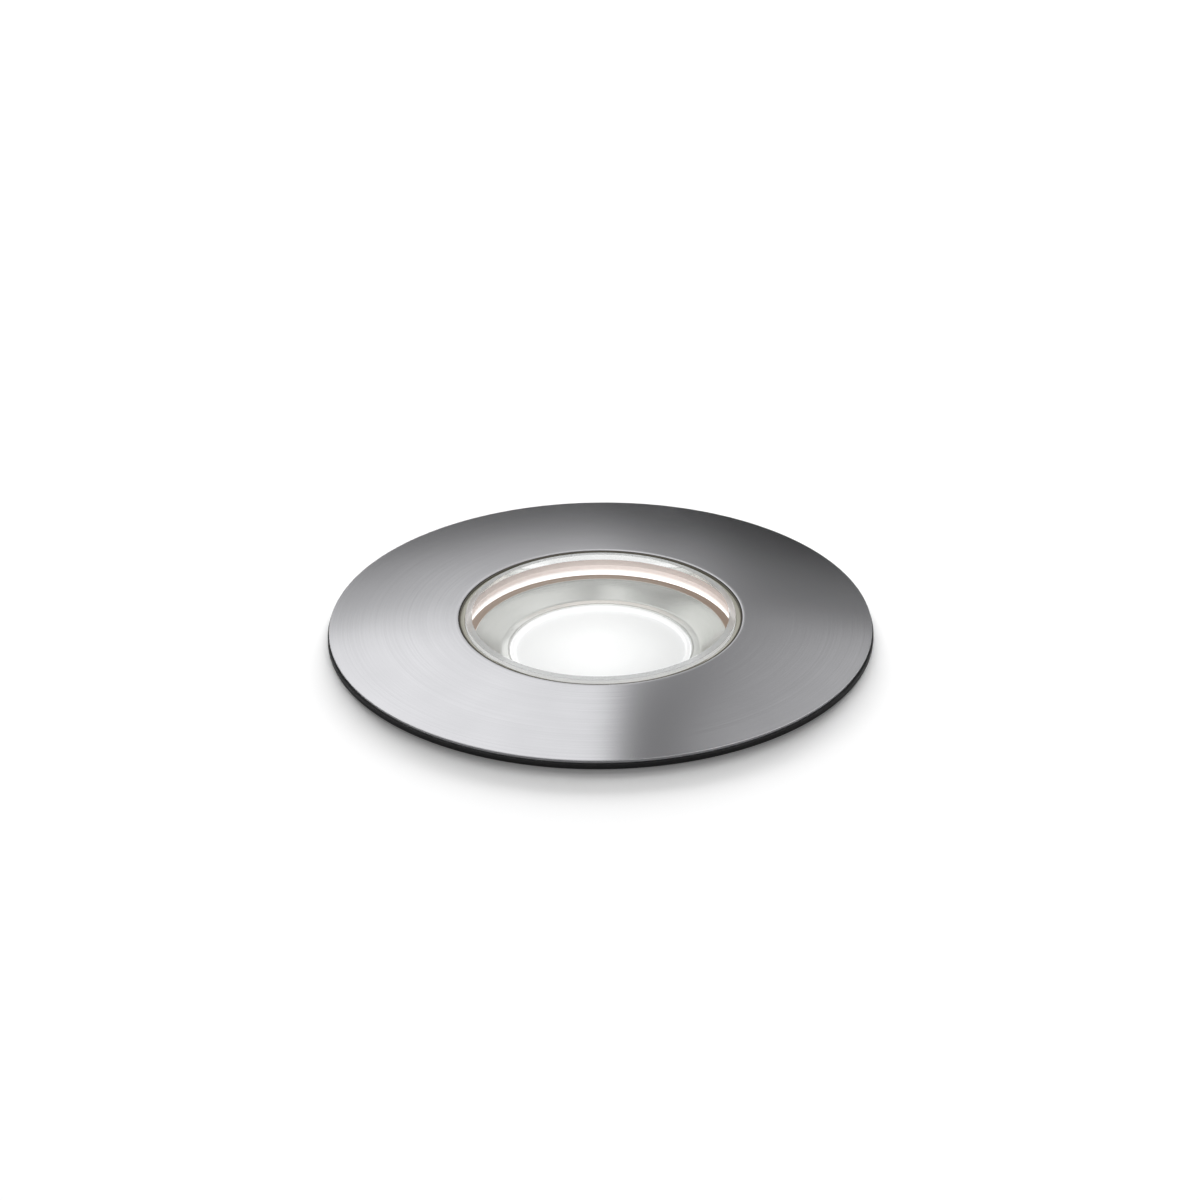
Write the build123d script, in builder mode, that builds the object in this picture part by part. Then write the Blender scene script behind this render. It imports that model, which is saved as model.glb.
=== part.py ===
from build123d import *
from math import cos, pi, sin, sqrt
import os

# Recessed outdoor spotlight: a finned lamp that hangs in a sleeve set in the ground, under a push-on trim.
# Millimetres, +Z up. The origin is the centre of the floor surface that the trim's gasket rests on.

# Driving dimensions of the trim and its gasket
trim_radius = 55.0
window_radius = 28.6
trim_edge_thickness = 0.45
trim_edge_round = 0.3
trim_rise = 1.85
trim_window_slope = 2.0
trim_window_break = 0.12
trim_gasket_thickness = 1.4
trim_gasket_inset = 0.15
trim_gasket_width = 8.0
trim_recess_gap = 0.3
collar_wall = 1.2
collar_end_gap = 1.0
collar_gap = 0.3

# Window glass and the silicone gasket that wraps its flange
glass_thickness = 8.0
glass_proud = 0.7
glass_bevel_width = 1.35
glass_bevel_height = 0.65
glass_flange_width = 4.75
glass_flange_thickness = 3.0
glass_edge_break = 0.4
gasket_lip = 1.15
gasket_lip_drop = 0.2
gasket_web = 0.9
gasket_top_leg = 0.8
gasket_seat_leg = 1.5
gasket_skirt_wall = 0.3
gasket_skirt_drop = 0.8
silicone_gap = 0.05
window_gap = 0.2

# Retaining ring over the glass flange
ring_thickness = 1.2
ring_gap = 0.25
ring_screw_count = 6
ring_screw_radius = 1.5
ring_screw_head_radius = 2.6
ring_screw_length = 5.0
ring_land = 6.4

# Lamp housing
mouth_step = 0.2
mouth_depth = 1.0
cavity_step = 1.6
cavity_depth = 20.9
housing_wall = 2.5
housing_floor = 4.0
driver_bay_depth = 31.0
head_height = 6.0
lamp_flange_thickness = 3.0
lamp_flange_width = 0.8
fin_count = 24
fin_width = 4.3
fin_thickness = 1.8
fin_end_gap = 3.0
cast_edge_break = 0.4
boss_radius = 3.4
boss_height = 20.0
collar_ring_section = 1.6
collar_ring_proud = 0.1

# Light source and optic
board_gap = 2.55
board_thickness = 1.6
pad_thickness = 0.5
pad_radius = 17.0
carrier_side = 13.5
carrier_thickness = 1.0
phosphor_radius = 5.5
phosphor_thickness = 0.5
lens_rim_thickness = 2.6
lens_rim_width = 0.85
lens_recess = 1.3
lens_base_radius = 8.0
lens_well_radius = 6.2
lens_well_depth = 5.0
lens_flare_tangents = ((0.35, 1), (1, 0.9))
lens_led_gap = 0.4
lens_drop = 4.5
lens_gap = 0.1
holder_wall = 1.7
holder_lip_wall = 0.4
holder_lip_drop = 0.3
holder_window_count = 4
holder_window_width = 9.0
dish_gap = 1.25
dish_width = 8.0
dish_rise = 2.3
dish_seat_width = 1.5
dish_thickness = 0.8
board_screw_count = 3
board_screw_radius = 1.5
board_screw_head_radius = 2.5
board_screw_head_height = 1.7
board_screw_depth = 2.6
lead_count = 2
lead_radius = 0.7
lead_spacing = 4.0
lead_rise = 4.0
lead_bend = 1.8
lead_board_inset = 3.5
lead_wall_gap = 1.2
lead_hole_gap = 0.2

# Driver in the bay under the housing floor
driver_board_gap = 0.8
driver_board_thickness = 1.6
driver_standoff = 6.0
driver_post_radius = 3.0
driver_post_inset = 9.05
driver_post_count = 3
driver_screw_radius = 1.5
driver_screw_head_radius = 2.7
driver_screw_head_height = 1.8
driver_screw_depth = 4.0
transformer_length = 19.0
transformer_width = 15.0
transformer_height = 13.0
transformer_core = 5.0
capacitor_radius = 5.0
capacitor_height = 15.0
capacitor_groove = 0.6
capacitor_neck = 1.8
choke_radius = 4.5
choke_height = 8.0
choke_waist = 1.2
terminal_length = 15.0
terminal_width = 8.0
terminal_height = 9.0
terminal_chamfer = 1.6
terminal_pole_count = 3
terminal_port_radius = 1.6
terminal_port_depth = 5.0

# Rear cap and its fixings
cap_thickness = 4.0
cap_spigot_height = 2.5
cap_spigot_gap = 0.2
cap_rim_width = 0.6
rear_seal_section = 1.5
rear_screw_count = 4
rear_screw_radius = 1.5
rear_screw_head_radius = 2.8
rear_screw_head_height = 2.4
rear_screw_depth = 12.0
screw_hole_gap = 0.05
screw_drive_radius = 1.1
screw_drive_depth = 0.8

# Cable gland in the rear cap
gland_thread_radius = 8.0
gland_hex_across = 22.0
gland_hex_height = 5.0
gland_neck_radius = 7.6
gland_neck_height = 9.0
gland_wall = 1.8
gland_locknut_height = 4.0
gland_nut_height = 17.0
gland_nut_start_gap = 0.4
gland_seal_height = 11.0
gland_fit_gap = 0.1
gland_mouth_wall = 2.2
cable_radius = 3.6

# Spring clips on the lamp's two sides
clip_count = 2
clip_start_angle = 90.0
clip_bay_width = 15.0
clip_pad_depth = 1.6
clip_pad_width = 13.0
clip_pad_height = 20.0
clip_drop = 24.0
clip_sheet = 0.8
clip_arm_width = 8.0
clip_arm_length = 24.0
clip_pivot_offset = 3.3
clip_pin_radius = 1.0
clip_pin_gap = 0.05
clip_eye_wall = 0.8
clip_side_gap = 0.3
clip_eye_width = 2.8
clip_ear_reach = 2.0
clip_tip_gap = 0.4
clip_tip_bend = 2.4
clip_spring_wire = 0.35
clip_spring_turns = 3
clip_spring_pitch = 1.15
clip_spring_gap = 0.2
clip_spring_leg = 3.0
bracket_screw_radius = 1.2
bracket_screw_head_radius = 2.0
bracket_screw_head_height = 1.3
bracket_screw_depth = 2.2
bracket_screw_spacing = 12.0
bracket_end_margin = 3.0

# Sleeve in the ground
sleeve_gap = 0.5
sleeve_wall = 2.7
sleeve_collar_depth = 16.0
sleeve_lead_in = 0.6
sleeve_bore_step = 2.8
sleeve_depth = 108.0
sleeve_foot_width = 4.5
sleeve_foot_thickness = 3.0
sleeve_rib_count = 4
sleeve_rib_thickness = 1.8
sleeve_rib_inset = 0.5
sleeve_web_count = 8
sleeve_web_thickness = 1.8
sleeve_web_inset = 1.0
grommet_radius = 7.0
grommet_lip = 2.0
grommet_lip_thickness = 1.2
grommet_fit_gap = 0.05
grommet_height = 18.0
grommet_boss_reach = 0.5
grommet_count = 2
side_cable_radius = 4.0

# Levels, from the floor surface up to the glass and down through the lamp
trim_bottom = trim_gasket_thickness
trim_edge_top = trim_bottom + trim_edge_thickness
trim_top = trim_edge_top + trim_rise
glass_top = trim_top + glass_proud
glass_bottom = glass_top - glass_thickness
glass_step = glass_bottom + glass_flange_thickness
head_top = glass_step + gasket_top_leg
ring_top = head_top + ring_thickness
trim_recess = ring_top + trim_recess_gap
seat_level = glass_bottom - gasket_seat_leg
mouth_bottom = seat_level - mouth_depth
floor_top = mouth_bottom - cavity_depth
floor_bottom = floor_top - housing_floor
housing_bottom = floor_bottom - driver_bay_depth
flange_top = head_top - head_height
collar_bottom = flange_top + collar_end_gap
flange_bottom = flange_top - lamp_flange_thickness
board_bottom = floor_top + pad_thickness
board_top = board_bottom + board_thickness
carrier_top = board_top + carrier_thickness
phosphor_top = carrier_top + phosphor_thickness
lens_bottom = phosphor_top + lens_led_gap
lens_top = glass_bottom - lens_drop
lens_rim_bottom = lens_top - lens_rim_thickness
lens_face = lens_top - lens_recess
dish_seat = lens_top - dish_thickness
driver_board_top = floor_bottom - driver_standoff
driver_board_bottom = driver_board_top - driver_board_thickness
cap_bottom = housing_bottom - cap_thickness
gland_hex_bottom = cap_bottom - gland_hex_height
gland_neck_bottom = gland_hex_bottom - gland_neck_height
gland_nut_top = gland_hex_bottom - gland_nut_start_gap
gland_nut_bottom = gland_nut_top - gland_nut_height
clip_pivot_level = flange_bottom - clip_drop - clip_arm_length / 2
grommet_level = grommet_height - sleeve_depth

# Radii, from the window outwards to the sleeve
lip_outer = window_radius - window_gap
glass_radius = lip_outer - gasket_lip
lip_inner = glass_radius + silicone_gap
glass_flange_radius = glass_radius + glass_flange_width
gasket_outer = glass_flange_radius + silicone_gap + gasket_web
pocket_radius = gasket_outer + silicone_gap
head_radius = pocket_radius + ring_land
ring_inner = lip_outer + ring_gap
ring_outer = head_radius - ring_gap
collar_inner = head_radius + collar_gap
collar_outer = collar_inner + collar_wall
lamp_flange_radius = collar_outer + lamp_flange_width
mouth_radius = glass_radius + mouth_step
skirt_outer = mouth_radius - silicone_gap
skirt_inner = skirt_outer - gasket_skirt_wall
cavity_radius = mouth_radius + cavity_step
wall_radius = cavity_radius + housing_wall
fin_radius = wall_radius + fin_width
groove_radius = head_radius + collar_ring_proud - collar_ring_section
groove_level = (head_top + flange_top) / 2
ring_screw_circle = (pocket_radius + groove_radius) / 2
rear_screw_circle = wall_radius + boss_radius / 2
board_radius = cavity_radius - board_gap
driver_post_circle = cavity_radius - driver_post_inset
dish_radius = mouth_radius - dish_gap
lens_radius = dish_radius - dish_width
holder_inner = lens_radius + lens_gap
holder_lip_outer = holder_inner + holder_lip_wall
dish_inner = holder_lip_outer + lens_gap
holder_outer = dish_inner + dish_seat_width
lens_shoulder_radius = lens_radius - holder_wall
lens_face_radius = lens_radius - lens_rim_width
sleeve_counterbore = lamp_flange_radius + sleeve_gap
sleeve_collar_radius = sleeve_counterbore + sleeve_wall
sleeve_bore = sleeve_counterbore - sleeve_bore_step
sleeve_tube_radius = sleeve_bore + sleeve_wall
clip_pad_face = wall_radius + clip_pad_depth
clip_pivot_radius = clip_pad_face + clip_pivot_offset

os.makedirs("parts", exist_ok=True)


def half_section(*corners):
    """A closed half section in the plane of the lamp's axis, ready to be turned about it."""
    with BuildSketch(Plane.XZ) as section:
        with BuildLine():
            Polyline(*corners, close=True)
        make_face()
    return section.sketch


def flat_ring(inner, outer, bottom, top):
    """The half section of a plain flat ring."""
    return half_section((inner, bottom), (outer, bottom), (outer, top), (inner, top))


def outward_plane(angle, distance):
    """An upright plane that faces out from the axis, with its own x along the rim and y up."""
    out = Vector(1, 0, 0).rotate(Axis.Z, angle)
    return Plane(out * distance, x_dir=out.rotate(Axis.Z, 90), z_dir=out)


def upright_plane(x, level):
    """The plane of the half sections, with its own origin moved along and up."""
    return Plane((x, 0, level), x_dir=(1, 0, 0), z_dir=(0, -1, 0))


def write(piece, name):
    """Label a finished piece and write its file."""
    piece.part.label = name
    export_step(piece.part, f"parts/{name}.step")


# Trim: a turned plate, crowned up to the window, with a collar that pushes over the lamp head.
# The crown is one arc that falls slightly at the window and more at the rim.
with BuildPart() as trim_ring:
    with BuildSketch(Plane.XZ):
        with BuildLine():
            crown_start = (window_radius + trim_window_break, trim_top)
            crown_end = (trim_radius - trim_edge_round, trim_edge_top)
            edge_start = (trim_radius, trim_edge_top - trim_edge_round)
            Polyline((window_radius, trim_recess), (window_radius, trim_top - trim_window_break), crown_start)
            TangentArc(crown_start, crown_end, tangent=Vector(1, 0).rotate(Axis.Z, -trim_window_slope))
            RadiusArc(crown_end, edge_start, trim_edge_round)
            Polyline(
                edge_start,
                (trim_radius, trim_bottom),
                (collar_outer, trim_bottom),
                (collar_outer, collar_bottom),
                (collar_inner, collar_bottom),
                (collar_inner, trim_recess),
                (window_radius, trim_recess),
            )
        make_face()
    revolve(axis=Axis.Z)
write(trim_ring, "trim_ring")

with BuildPart() as trim_gasket:
    revolve(
        flat_ring(
            trim_radius - trim_gasket_inset - trim_gasket_width,
            trim_radius - trim_gasket_inset,
            trim_bottom - trim_gasket_thickness,
            trim_bottom,
        ),
        axis=Axis.Z,
    )
write(trim_gasket, "trim_gasket")

# Window: a stepped glass with a bevelled rim
with BuildPart() as window_glass:
    revolve(
        half_section(
            (0, glass_bottom),
            (glass_flange_radius - glass_edge_break, glass_bottom),
            (glass_flange_radius, glass_bottom + glass_edge_break),
            (glass_flange_radius, glass_step - glass_edge_break),
            (glass_flange_radius - glass_edge_break, glass_step),
            (glass_radius, glass_step),
            (glass_radius, glass_top - glass_bevel_height),
            (glass_radius - glass_bevel_width, glass_top),
            (0, glass_top),
        ),
        axis=Axis.Z,
    )
write(window_glass, "window_glass")

with BuildPart() as glass_gasket:
    revolve(
        half_section(
            (lip_inner, trim_top - gasket_lip_drop),
            (lip_outer, trim_top - gasket_lip_drop),
            (lip_outer, head_top),
            (gasket_outer, head_top),
            (gasket_outer, seat_level),
            (skirt_outer, seat_level),
            (skirt_outer, seat_level - gasket_skirt_drop),
            (skirt_inner, seat_level - gasket_skirt_drop),
            (skirt_inner, glass_bottom),
            (glass_flange_radius + silicone_gap, glass_bottom),
            (glass_flange_radius + silicone_gap, glass_step),
            (lip_inner, glass_step),
        ),
        axis=Axis.Z,
    )
write(glass_gasket, "glass_gasket")

with BuildPart() as retaining_ring:
    revolve(flat_ring(ring_inner, ring_outer, head_top, ring_top), axis=Axis.Z)
    with Locations(Plane.XY.offset(ring_top)):
        with PolarLocations(ring_screw_circle, ring_screw_count):
            CounterSinkHole(
                ring_screw_radius + screw_hole_gap,
                ring_screw_head_radius + screw_hole_gap,
                depth=ring_thickness,
                counter_sink_angle=90,
            )
write(retaining_ring, "retaining_ring")

with BuildPart() as ring_screw:
    head_depth = ring_screw_head_radius - ring_screw_radius
    revolve(
        half_section(
            (0, ring_top),
            (ring_screw_head_radius, ring_top),
            (ring_screw_radius, ring_top - head_depth),
            (ring_screw_radius, ring_top - ring_screw_length),
            (0, ring_top - ring_screw_length),
        ),
        axis=Axis.Z,
    )
    with BuildSketch(Plane.XY.offset(ring_top)):
        RegularPolygon(screw_drive_radius, 6)
    extrude(amount=-screw_drive_depth, mode=Mode.SUBTRACT)

with BuildPart() as retaining_screws:
    with PolarLocations(ring_screw_circle, ring_screw_count):
        add(ring_screw.part)
write(retaining_screws, "retaining_screws")

# Housing: a turned cup with the glass seat above its floor and the driver bay below, then its cast features
with BuildPart() as lamp_housing:
    groove_half = collar_ring_section / 2
    revolve(
        half_section(
            (pocket_radius, head_top),
            (head_radius, head_top),
            (head_radius, groove_level + groove_half),
            (groove_radius, groove_level + groove_half),
            (groove_radius, groove_level - groove_half),
            (head_radius, groove_level - groove_half),
            (head_radius, flange_top),
            (lamp_flange_radius - cast_edge_break, flange_top),
            (lamp_flange_radius, flange_top - cast_edge_break),
            (lamp_flange_radius, flange_bottom + cast_edge_break),
            (lamp_flange_radius - cast_edge_break, flange_bottom),
            (wall_radius, flange_bottom),
            (wall_radius, housing_bottom),
            (cavity_radius, housing_bottom),
            (cavity_radius, floor_bottom),
            (0, floor_bottom),
            (0, floor_top),
            (cavity_radius, floor_top),
            (cavity_radius, mouth_bottom),
            (mouth_radius, mouth_bottom),
            (mouth_radius, seat_level),
            (pocket_radius, seat_level),
        ),
        axis=Axis.Z,
    )
    # Cooling fins, left out where the clips stand
    fin_centre = (wall_radius + fin_radius) / 2
    fin_length = fin_width + housing_wall
    with BuildSketch(Plane.XY.offset(flange_bottom)):
        with PolarLocations(fin_centre - housing_wall / 2, fin_count):
            SlotOverall(fin_length, fin_thickness)
        with PolarLocations(fin_centre, clip_count, clip_start_angle):
            Rectangle(2 * fin_length, clip_bay_width, mode=Mode.SUBTRACT)
        Circle(wall_radius - housing_wall / 2, mode=Mode.SUBTRACT)
    extrude(amount=housing_bottom + fin_end_gap - flange_bottom)
    # Flat pads for the clip brackets
    pad_run = clip_pad_depth + housing_wall / 2
    with BuildSketch(Plane.XY.offset(clip_pivot_level - clip_pad_height / 2)):
        with PolarLocations(clip_pad_face - pad_run / 2, clip_count, clip_start_angle):
            Rectangle(pad_run, clip_pad_width)
    extrude(amount=clip_pad_height)
    # Bosses for the rear screws
    with BuildSketch(Plane.XY.offset(housing_bottom)):
        with PolarLocations(rear_screw_circle, rear_screw_count, 180 / rear_screw_count):
            Circle(boss_radius)
        Circle(wall_radius - housing_wall / 2, mode=Mode.SUBTRACT)
    extrude(amount=boss_height)
    # Posts under the floor for the driver board
    with BuildSketch(Plane.XY.offset(driver_board_top)):
        with PolarLocations(driver_post_circle, driver_post_count, clip_start_angle):
            Circle(driver_post_radius)
    extrude(amount=driver_standoff + housing_floor / 2)
    # Screw holes, each cut from the face that its screw enters
    with BuildSketch(Plane.XY.offset(head_top)):
        with PolarLocations(ring_screw_circle, ring_screw_count):
            Circle(ring_screw_radius + screw_hole_gap)
    extrude(amount=ring_thickness - ring_screw_length - screw_hole_gap, mode=Mode.SUBTRACT)
    with BuildSketch(Plane.XY.offset(housing_bottom)):
        with PolarLocations(rear_screw_circle, rear_screw_count, 180 / rear_screw_count):
            Circle(rear_screw_radius + screw_hole_gap)
    extrude(amount=rear_screw_depth + screw_hole_gap, mode=Mode.SUBTRACT)
    board_screw_circle = (board_radius + holder_outer) / 2
    with BuildSketch(Plane.XY.offset(floor_top)):
        with PolarLocations(board_screw_circle, board_screw_count, clip_start_angle):
            Circle(board_screw_radius + screw_hole_gap)
    extrude(amount=-board_screw_depth - screw_hole_gap, mode=Mode.SUBTRACT)
    with BuildSketch(Plane.XY.offset(driver_board_top)):
        with PolarLocations(driver_post_circle, driver_post_count, clip_start_angle):
            Circle(driver_screw_radius + screw_hole_gap)
    extrude(amount=driver_screw_depth + screw_hole_gap, mode=Mode.SUBTRACT)
    for side in range(clip_count):
        side_angle = clip_start_angle + side * 360 / clip_count
        with BuildSketch(outward_plane(side_angle, clip_pad_face)):
            with Locations((0, clip_pivot_level)):
                with GridLocations(0, bracket_screw_spacing, 1, 2):
                    Circle(bracket_screw_radius + screw_hole_gap)
        extrude(amount=-bracket_screw_depth - screw_hole_gap, mode=Mode.SUBTRACT)
    # Holes that bring the leads down to the driver
    lead_outer = cavity_radius - lead_wall_gap - lead_radius
    with BuildSketch(Plane.XY.offset(floor_bottom)):
        with Locations((lead_outer, 0)):
            with GridLocations(0, lead_spacing, 1, lead_count):
                Circle(lead_radius + lead_hole_gap)
    extrude(amount=housing_floor, mode=Mode.SUBTRACT)
write(lamp_housing, "lamp_housing")

with BuildPart() as collar_ring:
    with BuildSketch(Plane.XZ):
        with Locations((groove_radius + collar_ring_section / 2, groove_level)):
            Circle(collar_ring_section / 2)
    revolve(axis=Axis.Z)
write(collar_ring, "collar_ring")

# Light source: pad, board, ceramic carrier and phosphor disc
with BuildPart() as thermal_pad:
    with BuildSketch(Plane.XY.offset(floor_top)):
        Circle(pad_radius)
    extrude(amount=pad_thickness)
write(thermal_pad, "thermal_pad")

with BuildPart() as led_board:
    with BuildSketch(Plane.XY.offset(board_bottom)):
        Circle(board_radius)
        with PolarLocations(board_screw_circle, board_screw_count, clip_start_angle):
            Circle(board_screw_radius + screw_hole_gap, mode=Mode.SUBTRACT)
    extrude(amount=board_thickness)
write(led_board, "led_board")

with BuildPart() as led_carrier:
    with BuildSketch(Plane.XY.offset(board_top)):
        RectangleRounded(carrier_side, carrier_side, carrier_thickness)
    extrude(amount=carrier_thickness)
write(led_carrier, "led_carrier")

with BuildPart() as led_phosphor:
    with BuildSketch(Plane.XY.offset(carrier_top)):
        Circle(phosphor_radius)
    extrude(amount=phosphor_thickness)
    fillet(led_phosphor.edges().group_by(Axis.Z)[-1], phosphor_thickness / 2)
write(led_phosphor, "led_phosphor")

with BuildPart() as board_screw:
    with BuildSketch(Plane.XY.offset(floor_top - board_screw_depth)):
        Circle(board_screw_radius)
    extrude(amount=board_screw_depth + pad_thickness + board_thickness)
    with BuildSketch(Plane.XY.offset(board_top)):
        Circle(board_screw_head_radius)
    extrude(amount=board_screw_head_height)
    with BuildSketch(Plane.XY.offset(board_top + board_screw_head_height)):
        RegularPolygon(screw_drive_radius, 6)
    extrude(amount=-screw_drive_depth, mode=Mode.SUBTRACT)

with BuildPart() as board_screws:
    with PolarLocations(board_screw_circle, board_screw_count, clip_start_angle):
        add(board_screw.part)
write(board_screws, "board_screws")

# Lens: a collimator that flares up to a frosted face inside a raised rim, with a well over the source
with BuildPart() as lens:
    with BuildSketch(Plane.XZ):
        with BuildLine():
            flare_start = (lens_base_radius, lens_bottom)
            flare_end = (lens_shoulder_radius, lens_rim_bottom)
            well_rim = (lens_well_radius, lens_bottom)
            well_crown = (0, lens_bottom + lens_well_depth)
            Line(well_rim, flare_start)
            Spline(flare_start, flare_end, tangents=lens_flare_tangents)
            Polyline(
                flare_end,
                (lens_radius, lens_rim_bottom),
                (lens_radius, lens_top),
                (lens_face_radius, lens_top),
                (lens_face_radius, lens_face),
                (0, lens_face),
                well_crown,
            )
            TangentArc(well_crown, well_rim, tangent=(1, 0))
        make_face()
    revolve(axis=Axis.Z)
write(lens, "lens")

# Holder: a cup on the board with windows in its wall, a shoulder under the lens and a seat for the dish
with BuildPart() as lens_holder:
    lip_top = lens_top - holder_lip_drop
    revolve(
        half_section(
            (lens_shoulder_radius + lens_gap, lens_rim_bottom - holder_wall),
            (lens_shoulder_radius + lens_gap, lens_rim_bottom),
            (holder_inner, lens_rim_bottom),
            (holder_inner, lip_top),
            (holder_lip_outer, lip_top),
            (holder_lip_outer, dish_seat),
            (holder_outer, dish_seat),
            (holder_outer, board_top),
            (holder_inner, board_top),
            (holder_inner, lens_rim_bottom - holder_wall),
        ),
        axis=Axis.Z,
    )
    window_top = lens_rim_bottom - 2 * holder_wall
    window_bottom = board_top + holder_wall
    with BuildSketch(Plane.XY.offset(window_bottom)):
        with PolarLocations(holder_outer, holder_window_count):
            Rectangle(2 * holder_outer, holder_window_width, align=(Align.CENTER, Align.CENTER))
        Circle(lens_shoulder_radius, mode=Mode.SUBTRACT)
    extrude(amount=window_top - window_bottom, mode=Mode.SUBTRACT)
write(lens_holder, "lens_holder")

with BuildPart() as reflector_dish:
    dish_rim = lens_top + dish_rise
    revolve(
        half_section(
            (dish_inner, dish_seat),
            (holder_outer, dish_seat),
            (dish_radius, dish_rim - dish_thickness),
            (dish_radius, dish_rim),
            (holder_outer, lens_top),
            (dish_inner, lens_top),
        ),
        axis=Axis.Z,
    )
write(reflector_dish, "reflector_dish")

with BuildPart() as lead:
    lead_start = board_radius - lead_board_inset
    with BuildLine(Plane.XZ) as lead_route:
        FilletPolyline(
            (lead_start, board_top),
            (lead_start, board_top + lead_rise),
            (lead_outer, board_top + lead_rise),
            (lead_outer, driver_board_top),
            radius=lead_bend,
        )
    with BuildSketch(Plane((lead_start, 0, board_top))):
        Circle(lead_radius)
    sweep(path=lead_route.wires()[0])

with BuildPart() as led_leads:
    with GridLocations(0, lead_spacing, 1, lead_count):
        add(lead.part)
write(led_leads, "led_leads")

# Driver: a round board on the posts, with its parts hanging below
with BuildPart() as driver_board:
    with BuildSketch(Plane.XY.offset(driver_board_bottom)):
        Circle(cavity_radius - driver_board_gap)
        with PolarLocations(driver_post_circle, driver_post_count, clip_start_angle):
            Circle(driver_screw_radius + screw_hole_gap, mode=Mode.SUBTRACT)
    extrude(amount=driver_board_thickness)
write(driver_board, "driver_board")

with BuildPart() as driver_screw:
    with BuildSketch(Plane.XY.offset(driver_board_bottom)):
        Circle(driver_screw_radius)
    extrude(amount=driver_board_thickness + driver_screw_depth)
    with BuildSketch(Plane.XY.offset(driver_board_bottom)):
        Circle(driver_screw_head_radius)
    extrude(amount=-driver_screw_head_height)
    with BuildSketch(Plane.XY.offset(driver_board_bottom - driver_screw_head_height)):
        RegularPolygon(screw_drive_radius, 6)
    extrude(amount=screw_drive_depth, mode=Mode.SUBTRACT)

with BuildPart() as driver_screws:
    with PolarLocations(driver_post_circle, driver_post_count, clip_start_angle):
        add(driver_screw.part)
write(driver_screws, "driver_screws")

with BuildPart() as driver_transformer:
    with BuildSketch(Plane.XY.offset(driver_board_bottom)):
        RectangleRounded(transformer_width, transformer_length, transformer_core / 2)
    extrude(amount=-transformer_height)
    core_top = driver_board_bottom - (transformer_height - transformer_core) / 2
    with BuildSketch(Plane.XY.offset(core_top)):
        Rectangle(transformer_width + transformer_core, transformer_length - transformer_core)
    extrude(amount=-transformer_core)
write(driver_transformer, "driver_transformer")

part_circle = (cavity_radius - driver_board_gap + transformer_width / 2) / 2

with BuildPart() as driver_capacitor:
    can_bottom = driver_board_bottom - capacitor_height
    can_neck = capacitor_radius - capacitor_groove
    neck_level = driver_board_bottom - capacitor_neck
    with BuildSketch(upright_plane(part_circle, 0)):
        with BuildLine():
            Polyline((0, driver_board_bottom), (0, can_bottom), (can_neck, can_bottom))
            RadiusArc(
                (can_neck, can_bottom),
                (capacitor_radius, can_bottom + capacitor_groove),
                -capacitor_groove,
            )
            Polyline(
                (capacitor_radius, can_bottom + capacitor_groove),
                (capacitor_radius, neck_level - capacitor_groove),
                (can_neck, neck_level),
                (capacitor_radius, neck_level + capacitor_groove),
                (capacitor_radius, driver_board_bottom),
                (0, driver_board_bottom),
            )
        make_face()
    revolve(axis=Axis((part_circle, 0, 0), (0, 0, 1)))
write(driver_capacitor, "driver_capacitor")

with BuildPart() as driver_choke:
    choke_bottom = driver_board_bottom - choke_height
    choke_core = choke_radius - choke_waist
    with BuildSketch(upright_plane(-part_circle, 0)):
        with BuildLine():
            Polyline(
                (0, driver_board_bottom),
                (choke_radius, driver_board_bottom),
                (choke_radius, driver_board_bottom - choke_waist),
                (choke_core, driver_board_bottom - choke_waist),
                (choke_core, choke_bottom + choke_waist),
                (choke_radius, choke_bottom + choke_waist),
                (choke_radius, choke_bottom),
                (0, choke_bottom),
                close=True,
            )
        make_face()
    revolve(axis=Axis((-part_circle, 0, 0), (0, 0, 1)))
write(driver_choke, "driver_choke")

with BuildPart() as terminal_block:
    terminal_pitch = terminal_length / terminal_pole_count
    terminal_y = -(transformer_length / 2 + cavity_radius - driver_board_gap) / 2
    with BuildSketch(Plane.XY.offset(driver_board_bottom)):
        with Locations((0, terminal_y)):
            Rectangle(terminal_length, terminal_width)
    extrude(amount=-terminal_height)
    chamfer(terminal_block.edges().group_by(Axis.Z)[0].filter_by(Axis.X), terminal_chamfer)
    with BuildSketch(Plane.XZ.offset(terminal_width / 2 - terminal_y)):
        with Locations((0, driver_board_bottom - terminal_height / 2)):
            with GridLocations(terminal_pitch, 0, terminal_pole_count, 1):
                Circle(terminal_port_radius)
    extrude(amount=-terminal_port_depth, mode=Mode.SUBTRACT)
write(terminal_block, "terminal_block")

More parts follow.
